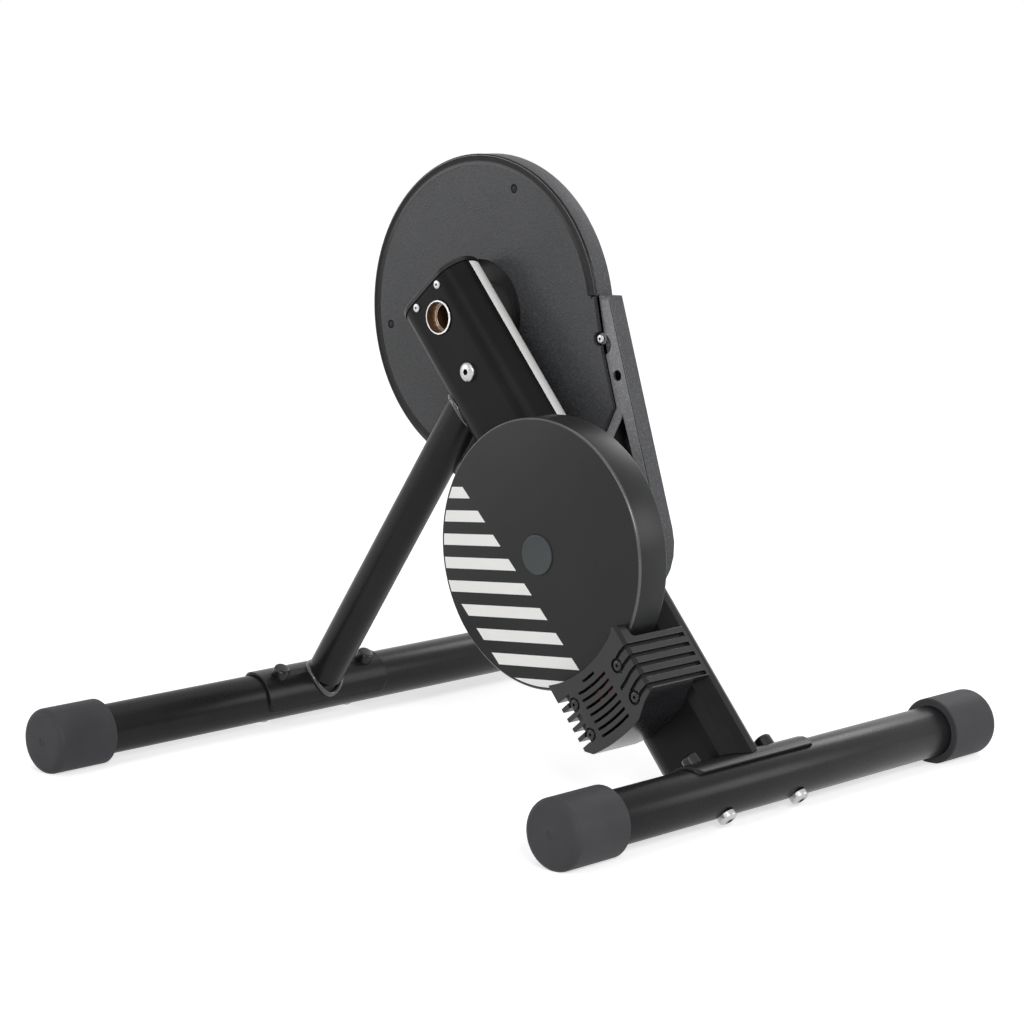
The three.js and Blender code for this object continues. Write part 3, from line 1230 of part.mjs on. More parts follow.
const flangeFarY = freehubNearY + FREEHUB_FLANGE_LENGTH;
const freehubCore = union([
  rod(FREEHUB_FLANGE_DIAMETER, AXLE, freehubNearY, flangeFarY, ROUND_STEPS),
  rod(FREEHUB_BODY_DIAMETER, AXLE, freehubNearY, splineNearY + CUT_OVERRUN, ROUND_STEPS),
  slab(splineOutline, splineNearY, freehubFarY),
]);
addNode('freehub_body', without(freehubCore, [
  freehubRoom,
  rod(FREEHUB_INNER_BORE, AXLE, freehubNearY - CUT_OVERRUN, freehubFarY, ROUND_STEPS),
]), darkSteel);
const freehubBearingFar = freehubFarY - FREEHUB_END_RECESS;
addNode('freehub_bearing', ring(
  FREEHUB_BEARING_BORE, FREEHUB_BEARING_DIAMETER, AXLE,
  freehubBearingFar - FREEHUB_BEARING_WIDTH, freehubBearingFar,
), silver);
const endCapNearY = FAR_DROPOUT_Y - END_CAP_FLANGE;
const endCapBore = FREEHUB_BEARING_BORE / 2;
addNode('drive_side_end_cap', turned([
  [endCapBore, endCapNearY - END_CAP_COLLAR],
  [END_CAP_COLLAR_DIAMETER / 2, endCapNearY - END_CAP_COLLAR],
  [END_CAP_COLLAR_DIAMETER / 2, endCapNearY],
  [END_CAP_DIAMETER / 2, endCapNearY],
  [END_CAP_DIAMETER / 2, FAR_DROPOUT_Y],
  [AXLE_THROUGH_BORE / 2, FAR_DROPOUT_Y],
  [AXLE_THROUGH_BORE / 2, FAR_DROPOUT_Y - END_CAP_FACE],
  [endCapBore, FAR_DROPOUT_Y - END_CAP_FACE],
], AXLE, ROUND_STEPS), silver);

// Place in the XZ plane from distances along the beam from the flywheel's axis and across it.
function wheelPlace(along, across) {
  return beamPlace(FLYWHEEL_DISTANCE + along, across);
}

// Arc about the flywheel axis between two places across the beam.
function brakeArc(radius, left, right, steps) {
  const start = beamAngle + Math.asin(left / radius);
  const end = beamAngle + Math.asin(right / radius);
  return arc(FLYWHEEL_AXIS, radius, start, end, steps);
}

// Four-cornered outline between places along and across the beam.
function patch(near, far, left, right) {
  return [wheelPlace(near, left), wheelPlace(far, left), wheelPlace(far, right), wheelPlace(near, right)];
}

// Brake housing
const brakeOutline = [
  ...brakeArc(BRAKE_ARCH_RADIUS, BRAKE_LEFT, BRAKE_ARCH_RIGHT, SMALL_STEPS),
  wheelPlace(BRAKE_POST_TOP + BRAKE_POST_EDGE, BRAKE_ARCH_RIGHT),
  wheelPlace(BRAKE_POST_TOP, BRAKE_ARCH_RIGHT + BRAKE_POST_EDGE),
  wheelPlace(BRAKE_POST_TOP, BRAKE_RIGHT - BRAKE_POST_EDGE),
  wheelPlace(BRAKE_POST_TOP + BRAKE_POST_EDGE, BRAKE_RIGHT),
  ...BRAKE_LOWER_RIGHT.map((pair) => wheelPlace(...pair)),
  ...brakeArc(BRAKE_BASE_RADIUS, BRAKE_LOWER_RIGHT.at(-1)[1], BRAKE_LOWER_LEFT, SMALL_STEPS).slice(1),
  wheelPlace(BRAKE_LEFT_FOOT, BRAKE_LEFT),
];
const brakeRoomOutline = [
  ...brakeArc(BRAKE_SLOT_RADIUS - CUT_OVERRUN, BRAKE_CAVITY_LEFT, BRAKE_CAVITY_RIGHT, SMALL_STEPS),
  ...BRAKE_CAVITY_LOWER_RIGHT.map((pair) => wheelPlace(...pair)),
  ...brakeArc(
    BRAKE_CAVITY_RADIUS, BRAKE_CAVITY_LOWER_RIGHT.at(-1)[1], BRAKE_CAVITY_FOOT_LEFT, SMALL_STEPS,
  ).slice(1),
  wheelPlace(BRAKE_CAVITY_FOOT, BRAKE_CAVITY_LEFT),
];
const brakeRoomNear = BRAKE_NEAR_Y + BRAKE_SKIN;
const brakeLipFar = BEAM_NEAR_Y + BRAKE_LIP_REACH;
const brakeCutNear = BRAKE_NEAR_Y - CUT_OVERRUN;
const brakeLip = slab(
  patch(BRAKE_BACK_TOP, BRAKE_LOWER_RIGHT[0][0], BRAKE_LIP_START, BRAKE_RIGHT),
  BRAKE_SLOT_FAR_Y, brakeLipFar,
);
const backZone = slab(
  patch(BRAKE_POST_TOP - BRAKE_FRONT_OVERHANG, BRAKE_BACK_TOP, BRAKE_LEFT * 2, BRAKE_RIGHT * 2),
  BRAKE_SLOT_FAR_Y, brakeLipFar + CUT_OVERRUN,
);

// Slot that the flywheel's rim runs in, with a round corner at its near end
const slotRoom = turned([
  [0, BRAKE_SLOT_FAR_Y],
  [BRAKE_SLOT_RADIUS, BRAKE_SLOT_FAR_Y],
  ...roundedEdge(
    BRAKE_SLOT_RADIUS - BRAKE_SLOT_ROUNDING, BRAKE_SLOT_RADIUS,
    BRAKE_SLOT_NEAR_Y + BRAKE_SLOT_ROUNDING, -BRAKE_SLOT_ROUNDING,
  ),
  [0, BRAKE_SLOT_NEAR_Y],
], FLYWHEEL_AXIS, WIDE_STEPS);
const brakeShape = without(slab(brakeOutline, BRAKE_NEAR_Y, BRAKE_FAR_Y).add(brakeLip), [
  beamCope,
  backZone,
  slotRoom,
  slab(brakeRoomOutline, brakeRoomNear, BRAKE_SLOT_FAR_Y),
]);
const brakeScrewPlaces = BRAKE_SCREW_PLACES.map((pair) => wheelPlace(...pair));
const brakeBosses = brakeScrewPlaces.map((place) => {
  const near = BRAKE_NEAR_Y + BRAKE_SKIN * HALF_SHARE;
  return rod(BRAKE_BOSS_DIAMETER, place, near, BRAKE_SLOT_FAR_Y + BRAKE_FAR_GAP, SMALL_STEPS);
});

// Pads on the far wall that carry the stator and the control board
const statorFarY = BRAKE_SLOT_FAR_Y - STATOR_FAR_GAP;
const statorNearY = statorFarY - STATOR_THICKNESS;
const statorMiddle = beamAngle + STATOR_ANGLE;
const backStart = statorMiddle - STATOR_HALF_SPAN;
const backEnd = statorMiddle + STATOR_HALF_SPAN;
function statorBand(inner, outer, near, far) {
  return slab([
    ...arc(FLYWHEEL_AXIS, inner, backStart, backEnd, SMALL_STEPS),
    ...arc(FLYWHEEL_AXIS, outer, backEnd, backStart, SMALL_STEPS),
  ], near, far);
}
const backOuter = STATOR_BACK_RADIUS + STATOR_BACK_THICKNESS;
const padFarY = BRAKE_SLOT_FAR_Y + BRAKE_FAR_GAP;
const boardFarY = BRAKE_SLOT_FAR_Y - BOARD_FAR_GAP;
brakeBosses.push(statorBand(STATOR_BACK_RADIUS, backOuter, statorFarY + CLEARANCE, padFarY));
for (const pair of BOARD_PAD_PLACES) {
  const padNearY = boardFarY + CLEARANCE;
  brakeBosses.push(rod(BOARD_PAD_DIAMETER, wheelPlace(...pair), padNearY, padFarY, SMALL_STEPS));
}
const brakeCuts = [];

// Curved vents in the near face
VENT_RADII.forEach((radius, index) => {
  const left = index === 0 ? SHORT_VENT_LEFT : VENT_LEFT;
  const right = index === 0 ? SHORT_VENT_RIGHT : VENT_RIGHT;
  const half = VENT_WIDTH / 2;
  const outline = [
    ...brakeArc(radius - half, left, right, VENT_STEPS),
    ...brakeArc(radius + half, right, left, VENT_STEPS),
  ];
  brakeCuts.push(slab(outline, brakeCutNear, BRAKE_SLOT_NEAR_Y + CUT_OVERRUN));
});

// Comb of short fins on the left edge, with a ramp up to the near face between them
const combLeft = BRAKE_LEFT - CUT_OVERRUN;
const combFloor = BRAKE_LEFT + COMB_GROOVE_DEPTH;
const combRamp = [
  [-CUT_OVERRUN, combLeft],
  [COMB_RAMP_DEPTH, combLeft],
  [COMB_RAMP_DEPTH, combFloor],
  [0, combFloor + COMB_RAMP_LENGTH],
  [-CUT_OVERRUN, combFloor + COMB_RAMP_LENGTH],
].map((pair) => new THREE.Vector2(...pair));
for (let index = 0; index < COMB_GROOVE_COUNT; index += 1) {
  const start = COMB_GROOVE_START + index * COMB_GROOVE_PITCH - COMB_GROOVE_WIDTH / 2;
  const end = start + COMB_GROOVE_WIDTH;
  const outline = patch(start, end, combLeft, combFloor);
  brakeCuts.push(slab(outline, brakeCutNear, BRAKE_NEAR_Y + COMB_GROOVE_LENGTH));
  brakeCuts.push(drawnAlong(combRamp, FLYWHEEL_AXIS, BRAKE_NEAR_Y, ALONG, start, end));
}

// Grooves on the right face that turn onto the near face and bend towards the screws
for (let index = 0; index < RIB_GROOVE_COUNT; index += 1) {
  const middle = RIB_GROOVE_START + index * RIB_GROOVE_PITCH;
  const half = RIB_GROOVE_WIDTH / 2;
  const right = BRAKE_RIGHT + CUT_OVERRUN;
  const outline = patch(middle - half, middle + half, BRAKE_RIGHT - RIB_GROOVE_DEPTH, right);
  brakeCuts.push(slab(outline, brakeCutNear, brakeLipFar - RIB_GROOVE_FAR_MARGIN));
  const tail = index === (RIB_GROOVE_COUNT - 1) / 2 ? MIDDLE_GROOVE_TAIL : [];
  const track = [...FACE_GROOVE_BEND, ...tail];
  const faceHalf = FACE_GROOVE_WIDTH / 2;
  const face = [
    ...track.map(([sway, across]) => wheelPlace(middle + sway - faceHalf, across)),
    ...track.reverse().map(([sway, across]) => wheelPlace(middle + sway + faceHalf, across)),
  ];
  brakeCuts.push(slab(face, brakeCutNear, BRAKE_NEAR_Y + FACE_GROOVE_DEPTH));
}

// Bevel between the near face and the right face
const bevel = [
  [-CUT_OVERRUN, -BRAKE_EDGE_CUT - CUT_OVERRUN],
  [BRAKE_EDGE_CUT + CUT_OVERRUN, CUT_OVERRUN],
  [-CUT_OVERRUN, CUT_OVERRUN],
].map((pair) => new THREE.Vector2(...pair));
brakeCuts.push(drawnAlong(
  bevel, wheelPlace(0, BRAKE_RIGHT), BRAKE_NEAR_Y, ALONG, BRAKE_POST_TOP - CUT_OVERRUN, BEAM_LENGTH,
));

// Screw holes, and the hole for the power inlet
const brakeScrewSeat = BRAKE_NEAR_Y + BRAKE_SCREW_SINK;
for (const place of brakeScrewPlaces) {
  const hole = BRAKE_SCREW_SHANK_DIAMETER + CLEARANCE * 2;
  brakeCuts.push(rod(BRAKE_POCKET_DIAMETER, place, brakeCutNear, brakeScrewSeat, SMALL_STEPS));
  const holeEnd = brakeScrewSeat + BRAKE_SCREW_LENGTH + CLEARANCE;
  brakeCuts.push(rod(hole, place, brakeCutNear, holeEnd, SMALL_STEPS));
}
const inletPlace = wheelPlace(INLET_DISTANCE, 0);
const inletY = BRAKE_SLOT_FAR_Y - INLET_FAR_GAP;
const inletDirection = ACROSS.clone().negate();
const inletHole = INLET_BODY_DIAMETER / 2 + CLEARANCE;
const inletStart = -BRAKE_CAVITY_LEFT - CUT_OVERRUN;
const inletEnd = -BRAKE_LEFT + CUT_OVERRUN;
brakeCuts.push(turnedAlong(
  [[0, inletStart], [inletHole, inletStart], [inletHole, inletEnd], [0, inletEnd]],
  inletPlace, inletY, inletDirection, SMALL_STEPS,
));
addNode('brake_housing', without(union([brakeShape, ...brakeBosses]), brakeCuts), castBlack);
brakeScrewPlaces.forEach((place, index) => {
  addNode(`brake_screw_${index + 1}`, buttonScrew(
    place, brakeScrewSeat, BRAKE_SCREW_HEAD_DIAMETER, BRAKE_SCREW_HEAD_HEIGHT,
    BRAKE_SCREW_SHANK_DIAMETER, BRAKE_SCREW_LENGTH,
  ), darkSteel);
});

// Stator with its poles, and a coil round each pole
const poleAngles = Array.from({ length: STATOR_COUNT }, (_, index) => {
  return statorMiddle + (index - (STATOR_COUNT - 1) / 2) * STATOR_STEP;
});
const statorBack = statorBand(STATOR_BACK_RADIUS, backOuter, statorNearY, statorFarY);
const statorMidY = (statorNearY + statorFarY) / 2;
const statorPoles = poleAngles.map((angle) => {
  const outline = rectangle(STATOR_THICKNESS, STATOR_POLE_WIDTH, 0);
  const root = STATOR_BACK_RADIUS + STATOR_BACK_THICKNESS / 2;
  return drawnAlong(outline, FLYWHEEL_AXIS, statorMidY, pointing(angle), STATOR_POLE_RADIUS, root);
});
addNode('stator_core', union([statorBack, ...statorPoles]), darkSteel);
poleAngles.forEach((angle, index) => {
  const end = COIL_START_RADIUS + COIL_LENGTH;
  const window = rectangle(STATOR_THICKNESS + CLEARANCE * 2, STATOR_POLE_WIDTH + CLEARANCE * 2, 0);
  const outline = rectangle(COIL_DEPTH, COIL_WIDTH, STATOR_POLE_WIDTH * HALF_SHARE);
  const place = [FLYWHEEL_AXIS, statorMidY, pointing(angle)];
  const winding = drawnAlong(outline, ...place, COIL_START_RADIUS, end);
  const hollow = drawnAlong(window, ...place, COIL_START_RADIUS - CUT_OVERRUN, end + CUT_OVERRUN);
  addNode(`brake_coil_${index + 1}`, winding.subtract(hollow), copper);
});

// Control board and power inlet
const boardNearY = boardFarY - BOARD_THICKNESS;
const board = slab(patch(BOARD_NEAR, BOARD_FAR, BOARD_LEFT, BOARD_RIGHT), boardNearY, boardFarY);
const chips = BOARD_CHIPS.map(([near, far, left, right, height]) => {
  return slab(patch(near, far, left, right), boardNearY - height, boardFarY - BOARD_THICKNESS * HALF_SHARE);
});
addNode('control_board', union([board, ...chips]), boardGreen);
const inletSeat = -BRAKE_LEFT + CLEARANCE;
const inletTip = inletSeat + INLET_FLANGE_THICKNESS;
const inletBack = inletTip - INLET_BODY_LENGTH;
const inletFloor = inletTip - INLET_BORE_DEPTH;
addNode('power_inlet', turnedAlong([
  [0, inletBack],
  [INLET_BODY_DIAMETER / 2, inletBack],
  [INLET_BODY_DIAMETER / 2, inletSeat],
  [INLET_FLANGE_DIAMETER / 2, inletSeat],
  [INLET_FLANGE_DIAMETER / 2, inletTip],
  [INLET_BORE_DIAMETER / 2, inletTip],
  [INLET_BORE_DIAMETER / 2, inletFloor],
  [INLET_PIN_DIAMETER / 2, inletFloor],
  [INLET_PIN_DIAMETER / 2, inletTip - INLET_FLANGE_THICKNESS],
  [0, inletTip - INLET_FLANGE_THICKNESS],
], inletPlace, inletY, inletDirection, SMALL_STEPS), blackPlastic);

export default group;
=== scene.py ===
"""Looks of a direct drive bike trainer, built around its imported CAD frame.

Sizes are in millimetres until a mesh is set up as a piece. Places are in the row frame: +Z is up, +X is
the rear of the bike and +Y runs along the axle to the drive side.
"""

import logging
import math
from collections.abc import Callable, Sequence
from dataclasses import dataclass
from enum import Enum

import bmesh
import bpy
from bmesh.types import BMEdge, BMesh, BMVert
from bpy.types import Material, Mesh, NodeInputs, NodeSocket, Object, World
from mathutils import Matrix, Vector


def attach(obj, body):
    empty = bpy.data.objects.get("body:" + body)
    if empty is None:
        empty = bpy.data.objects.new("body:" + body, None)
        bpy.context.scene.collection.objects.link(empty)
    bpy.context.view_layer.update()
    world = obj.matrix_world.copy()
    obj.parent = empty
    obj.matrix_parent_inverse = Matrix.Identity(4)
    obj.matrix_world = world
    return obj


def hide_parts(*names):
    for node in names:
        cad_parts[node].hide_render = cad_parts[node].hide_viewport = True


log = logging.getLogger("trainer")

MM = 0.001
AXLE = Vector((-57.5, 0.0, 340.0))
FLYWHEEL_AXIS = Vector((78.8117, 0.0, 176.8502))
FRONT_BAR = Vector((-232.6, 0.0, 24.6))
REAR_BAR = Vector((232.6, 0.0, 24.6))
ALONG = Vector((0.6411653, 0.0, -0.7674028))
ACROSS = Vector((0.7674028, 0.0, 0.6411653))
DEPTH = Vector((0.0, 1.0, 0.0))
ORIGIN = Vector((0.0, 0.0, 0.0))
BEAM_CENTRE_Y = -33.5
BEAM_NEAR_Y = -53.5

TUBE_STEPS = 96
HEAD_STEPS = 48
BEAD_SIDES = 12
BEAD_RIPPLE = 0.12
SHARP_ANGLE = 35.0
ROUNDED_ANGLE = 36.0
ROUNDING_SHARE = 0.4
MERGE_DISTANCE = 1e-4
COPY_MERGE_DISTANCE = 0.002
WHITE = (1.0, 1.0, 1.0, 1.0)

RGB = tuple[float, float, float]
Pair = tuple[float, float]
Chooser = Callable[[Vector, Vector], bool]
Feed = NodeSocket | float | tuple[float, ...]


class Body(Enum):
    """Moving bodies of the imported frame."""

    FRAME = "frame"
    FLYWHEEL = "flywheel_group"
    PULLEY = "drive_pulley_group"
    FREEHUB = "freehub_group"


class Slot(Enum):
    """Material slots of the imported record."""

    STEEL = "frame_steel"
    FOOT = "foot_rubber"
    CAP = "cap_plastic"
    COVER = "cover_plastic"
    GUARD = "guard_plastic"
    PULLEY = "pulley_plastic"
    BELT = "belt_rubber"
    BRIGHT = "bright_steel"
    DARK = "dark_steel"
    BUSHING = "bushing_metal"
    IRON = "flywheel_iron"
    CENTRE = "centre_cap_plastic"
    BRAKE = "brake_aluminium"
    STATOR = "stator_steel"
    COPPER = "copper"
    BOARD = "board"
    INLET = "inlet_plastic"


# Finishes


class Graph:
    """Node tree of a material or world, filled with short calls."""

    def __init__(self, owner: Material | World, shader: str = "Principled BSDF") -> None:
        """Takes over the tree of a new material or world.

        Args:
            owner: Material or world.
            shader: Name of its shader node, which is already wired up.
        """
        owner.use_nodes = True
        self.nodes = owner.node_tree.nodes
        self.links = owner.node_tree.links
        self.shader = self.nodes[shader].inputs

    def feed(self, inputs: NodeInputs, feeds: dict[str | int, Feed]) -> None:
        """Gives some inputs of a node a value or a link.

        Args:
            inputs: Inputs of the node.
            feeds: Value or socket for the name or number of each input.
        """
        for name, value in feeds.items():
            if isinstance(value, NodeSocket):
                self.links.new(value, inputs[name])
            else:
                inputs[name].default_value = value

    def node(self, kind: str, result: str, feeds: dict[str | int, Feed], operation: str = "") -> NodeSocket:
        """Adds a node.

        Args:
            kind: Type of the node, without the prefix that all types have.
            result: Name of the output that is used.
            feeds: Value or socket for some of its inputs.
            operation: What a mathematical node works out.

        Returns:
            The output.
        """
        node = self.nodes.new(f"ShaderNode{kind}")
        if operation:
            node.operation = operation
        self.feed(node.inputs, feeds)
        return node.outputs[result]

    def places(self) -> NodeSocket:
        """Adds the place of a point in its object."""
        return self.node("TexCoord", "Object", {})

    def noise(self, size: float, detail: float, stretch: RGB = (1.0, 1.0, 1.0)) -> NodeSocket:
        """Adds noise with clouds of a size in millimetres, some finer layers and a scale along each axis."""
        places = self.node("Mapping", "Vector", {"Scale": stretch, "Vector": self.places()})
        return self.node("TexNoise", "Fac", {"Scale": 1 / (size * MM), "Detail": detail, "Vector": places})

    def cells(self, size: float) -> NodeSocket:
        """Adds the distance to the middle of the nearest of many pits, a size in millimetres apart."""
        return self.node("TexVoronoi", "Distance", {"Scale": 1 / (size * MM), "Vector": self.places()})

    def spread(self, value: NodeSocket, low: float, high: float, cut: Pair = (0.3, 0.7)) -> NodeSocket:
        """Maps the part of a value's range between the two cuts to the range from low to high."""
        feeds = {"Value": value, "From Min": cut[0], "From Max": cut[1], "To Min": low, "To Max": high}
        return self.node("MapRange", "Result", feeds)

    def mix(self, share: NodeSocket, first: NodeSocket | RGB, second: RGB) -> NodeSocket:
        """Mixes two colours.

        Args:
            share: Share of the second colour.
            first: Colour at 0, plain or from another node.
            second: Colour at 1.

        Returns:
            The mixed colour.
        """
        node = self.nodes.new("ShaderNodeMix")
        node.data_type = "RGBA"
        start = first if isinstance(first, NodeSocket) else (*first, 1.0)
        self.feed(node.inputs, {"Factor": share, "A": start, "B": (*second, 1.0)})
        return node.outputs["Result"]

    def bump(self, height: NodeSocket, depth: float, under: NodeSocket | None = None) -> NodeSocket:
        """Turns a height, with 1 as a depth in millimetres, into a surface direction over another bump."""
        below = {} if under is None else {"Normal": under}
        return self.node("Bump", "Normal", {"Distance": depth * MM, "Height": height, **below})

    def seen(self) -> NodeSocket:
        """Adds a switch for rays that show the background.

        Returns:
            1 for camera, glossy and transmission rays, otherwise 0.
        """
        rays = self.nodes.new("ShaderNodeLightPath").outputs
        total = rays["Is Camera Ray"]
        for name in ("Is Glossy Ray", "Is Transmission Ray"):
            total = self.node("Math", "Value", {0: total, 1: rays[name]}, "MAXIMUM")
        return total


@dataclass(frozen=True)
class Finish:
    """A surface with a base tone, a cloudy second tone and a fine grain."""

    name: str
    tone: RGB
    second: RGB
    roughness: Pair
    metallic: float = 0.0
    specular: float = 0.5
    cloud: float = 30.0
    cloud_detail: float = 3.0
    grain: float = 1.0
    grain_detail: float = 2.0
    grain_depth: float = 0.02
    stretch: RGB = (1.0, 1.0, 1.0)
    coat: float = 0.0
    coat_roughness: float = 0.15

    def material(self) -> Material:
        """Returns the material of this finish, made on its first use."""
        known = bpy.data.materials.get(self.name)
        return known if known else self.build()

    def build(self) -> Material:
        """Makes the material.

        Returns:
            The new material.
        """
        material = bpy.data.materials.new(self.name)
        graph = Graph(material)
        clouds = graph.spread(graph.noise(self.cloud, self.cloud_detail), 0.0, 1.0)
        grain = graph.noise(self.grain, self.grain_detail, self.stretch)
        base = graph.mix(clouds, self.tone, self.second)
        graph.feed(graph.shader, {
            "Base Color": self.colour(graph, base, grain),
            "Roughness": graph.spread(grain, *self.roughness),
            "Normal": self.relief(graph, grain),
            "Metallic": self.metallic,
            "Specular IOR Level": self.specular,
            "Coat Weight": self.coat,
            "Coat Roughness": self.coat_roughness,
        })
        return material

    def colour(self, graph: Graph, base: NodeSocket, grain: NodeSocket) -> NodeSocket:
        """Returns the base colour as it is."""
        return base

    def relief(self, graph: Graph, grain: NodeSocket) -> NodeSocket:
        """Returns the surface direction over the grain."""
        return graph.bump(grain, self.grain_depth)


@dataclass(frozen=True)
class Moulded(Finish):
    """Moulded plastic with a spark-eroded texture: fine pits and pale specks."""

    pit: float = 1.1
    pit_depth: float = 0.05
    speck: RGB = (0.12, 0.12, 0.12)
    speck_share: float = 0.25
    speck_cut: Pair = (0.48, 0.66)

    def colour(self, graph: Graph, base: NodeSocket, grain: NodeSocket) -> NodeSocket:
        """Returns the base colour with pale specks where the grain is high."""
        return graph.mix(graph.spread(grain, 0.0, self.speck_share, self.speck_cut), base, self.speck)

    def relief(self, graph: Graph, grain: NodeSocket) -> NodeSocket:
        """Returns the surface direction over the grain and the pits."""
        return graph.bump(graph.cells(self.pit), self.pit_depth, graph.bump(grain, self.grain_depth))


BLACK_PAINT = Finish(
    "satin_black_paint", (0.01, 0.0102, 0.0109), (0.014, 0.0142, 0.0152), (0.27, 0.31), specular=0.16,
    grain=1.8, grain_depth=0.006,
)
GREY_PAINT = Finish(
    "satin_dark_grey_paint", (0.008, 0.0082, 0.0087), (0.011, 0.0112, 0.0118), (0.3, 0.34), specular=0.08,
    grain=1.6, grain_depth=0.006,
)
WELD = Finish(
    "painted_weld", (0.014, 0.014, 0.015), (0.018, 0.018, 0.019), (0.14, 0.22), specular=0.6, grain=3.0,
    grain_depth=0.3, coat=0.5,
)
RUBBER = Finish(
    "moulded_rubber", (0.046, 0.046, 0.05), (0.056, 0.056, 0.06), (0.5, 0.64), specular=0.15, grain=0.9,
    grain_depth=0.03,
)
BLACK_PLASTIC = Finish(
    "black_plastic", (0.011, 0.0112, 0.012), (0.015, 0.0152, 0.016), (0.32, 0.42), specular=0.25,
    grain_depth=0.015,
)
GLOSS_PLASTIC = Finish(
    "glossy_black_plastic", (0.008, 0.008, 0.0085), (0.01, 0.01, 0.0105), (0.14, 0.2), grain=4.0,
    grain_depth=0.008,
)
BAND_PLASTIC = Finish(
    "band_plastic", (0.004, 0.004, 0.0043), (0.006, 0.006, 0.0063), (0.16, 0.2), specular=0.2, grain=4.0,
    grain_depth=0.004,
)
# Light grey for the band's outer lip: a painted highlight line.
LIP_HIGHLIGHT_PLASTIC = Finish(
    "painted_lip_highlight", (0.07, 0.07, 0.073), (0.1, 0.1, 0.104), (0.2, 0.3), grain=2.0, grain_depth=0.004,
)
PULLEY_PLASTIC = Finish(
    "pulley_plastic", (0.004, 0.004, 0.0042), (0.006, 0.006, 0.0062), (0.45, 0.6), specular=0.1,
    grain_depth=0.015,
)
GREY_PLASTIC = Finish(
    "grey_plastic", (0.064, 0.07, 0.071), (0.072, 0.08, 0.082), (0.5, 0.6), specular=0.15, grain=0.8,
    grain_depth=0.012,
)
COVER_PLASTIC = Moulded(
    "fine_textured_plastic", (0.03, 0.031, 0.033), (0.04, 0.041, 0.044), (0.34, 0.5), specular=0.3,
    cloud=60.0, grain=1.3, grain_depth=0.09, pit=1.6, pit_depth=0.1, speck=(0.09, 0.091, 0.096),
    speck_share=0.4,
)
SHELL_PLASTIC = Moulded(
    "medium_textured_plastic", (0.066, 0.067, 0.071), (0.08, 0.081, 0.086), (0.46, 0.6), specular=0.14,
    cloud=40.0, grain=1.4, grain_depth=0.06, pit=1.5, pit_depth=0.06, speck=(0.17, 0.17, 0.176),
    speck_share=0.5,
)
GUARD_PLASTIC = Moulded(
    "coarse_textured_plastic", (0.2, 0.201, 0.21), (0.235, 0.236, 0.247), (0.46, 0.6), specular=0.2,
    grain=1.3, grain_depth=0.08, pit=1.4, pit_depth=0.08, speck=(0.38, 0.38, 0.395), speck_share=0.55,
)
ZINC = Finish(
    "zinc_plate", (0.5, 0.5, 0.51), (0.4, 0.4, 0.41), (0.22, 0.36), metallic=1.0, cloud=6.0, grain=0.7,
    grain_depth=0.01,
)
CHROME = Finish(
    "polished_ring", (0.8, 0.8, 0.81), (0.74, 0.74, 0.75), (0.08, 0.16), metallic=1.0, cloud=6.0, grain=0.8,
    grain_depth=0.004,
)
BRONZE = Finish(
    "bronze_bore", (0.16, 0.085, 0.04), (0.22, 0.12, 0.06), (0.3, 0.5), metallic=0.7, cloud=5.0, grain=0.5,
)
BLACK_OXIDE = Finish(
    "black_oxide", (0.018, 0.018, 0.0195), (0.026, 0.026, 0.028), (0.24, 0.34), metallic=0.6, cloud=8.0,
    grain=0.6, grain_depth=0.012,
)
# Near-black: painted shade in screw recesses and brake grooves; the casing screws are given it whole.
NEAR_BLACK_AND_SHADE = Finish(
    "near_black_and_painted_shade", (0.006, 0.006, 0.006), (0.009, 0.009, 0.009), (0.4, 0.5), specular=0.2, cloud=4.0,
    grain=0.5, grain_depth=0.01,
)
FLYWHEEL_PAINT = Finish(
    "flywheel_paint", (0.014, 0.0143, 0.015), (0.017, 0.0173, 0.018), (0.32, 0.37), specular=0.2,
    cloud=50.0, grain=1.4, grain_depth=0.005,
)
# Lighter, glossier paint for the flywheel's front edge: the lighter tone is a painted highlight, and the
# gloss catches the lamps.
EDGE_HIGHLIGHT = Finish(
    "flywheel_edge_highlight", (0.03, 0.0305, 0.032), (0.036, 0.0365, 0.038), (0.24, 0.28), specular=0.9,
    cloud=20.0, grain=1.2, grain_depth=0.003,
)
STRIPE_INK = Finish(
    "stripe_ink", (0.9, 0.895, 0.88), (0.93, 0.925, 0.91), (0.42, 0.5), cloud=20.0, grain_depth=0.006,
)
BRAKE_PAINT = Finish(
    "brake_paint", (0.014, 0.0143, 0.0155), (0.019, 0.0193, 0.021), (0.2, 0.27), specular=0.38, cloud=25.0,
    grain=1.6, grain_depth=0.003,
)
BELT_RUBBER = Finish(
    "belt_rubber", (0.012, 0.012, 0.012), (0.018, 0.018, 0.018), (0.6, 0.75), specular=0.25, grain=0.6,
    grain_depth=0.03,
)
LAMINATION = Finish(
    "stacked_steel", (0.07, 0.07, 0.075), (0.11, 0.11, 0.115), (0.4, 0.55), metallic=0.8, grain=0.5,
    grain_depth=0.05, stretch=(0.05, 1.0, 0.05),
)
WINDING = Finish(
    "copper_winding", (0.4, 0.05, 0.02), (0.28, 0.03, 0.015), (0.3, 0.45), metallic=0.7, cloud=4.0,
    grain=0.8, grain_depth=0.12,
)
BOARD_LACQUER = Finish(
    "board_lacquer", (0.01, 0.07, 0.03), (0.015, 0.09, 0.04), (0.25, 0.4), cloud=6.0, grain=1.5,
    grain_depth=0.05,
)


# Shaping


def beam_place(along: float, across: float, depth: float) -> Vector:
    """Turns distances from the axle, along and across the beam and in depth, into a place."""
    return AXLE + ALONG * along + ACROSS * across + DEPTH * depth


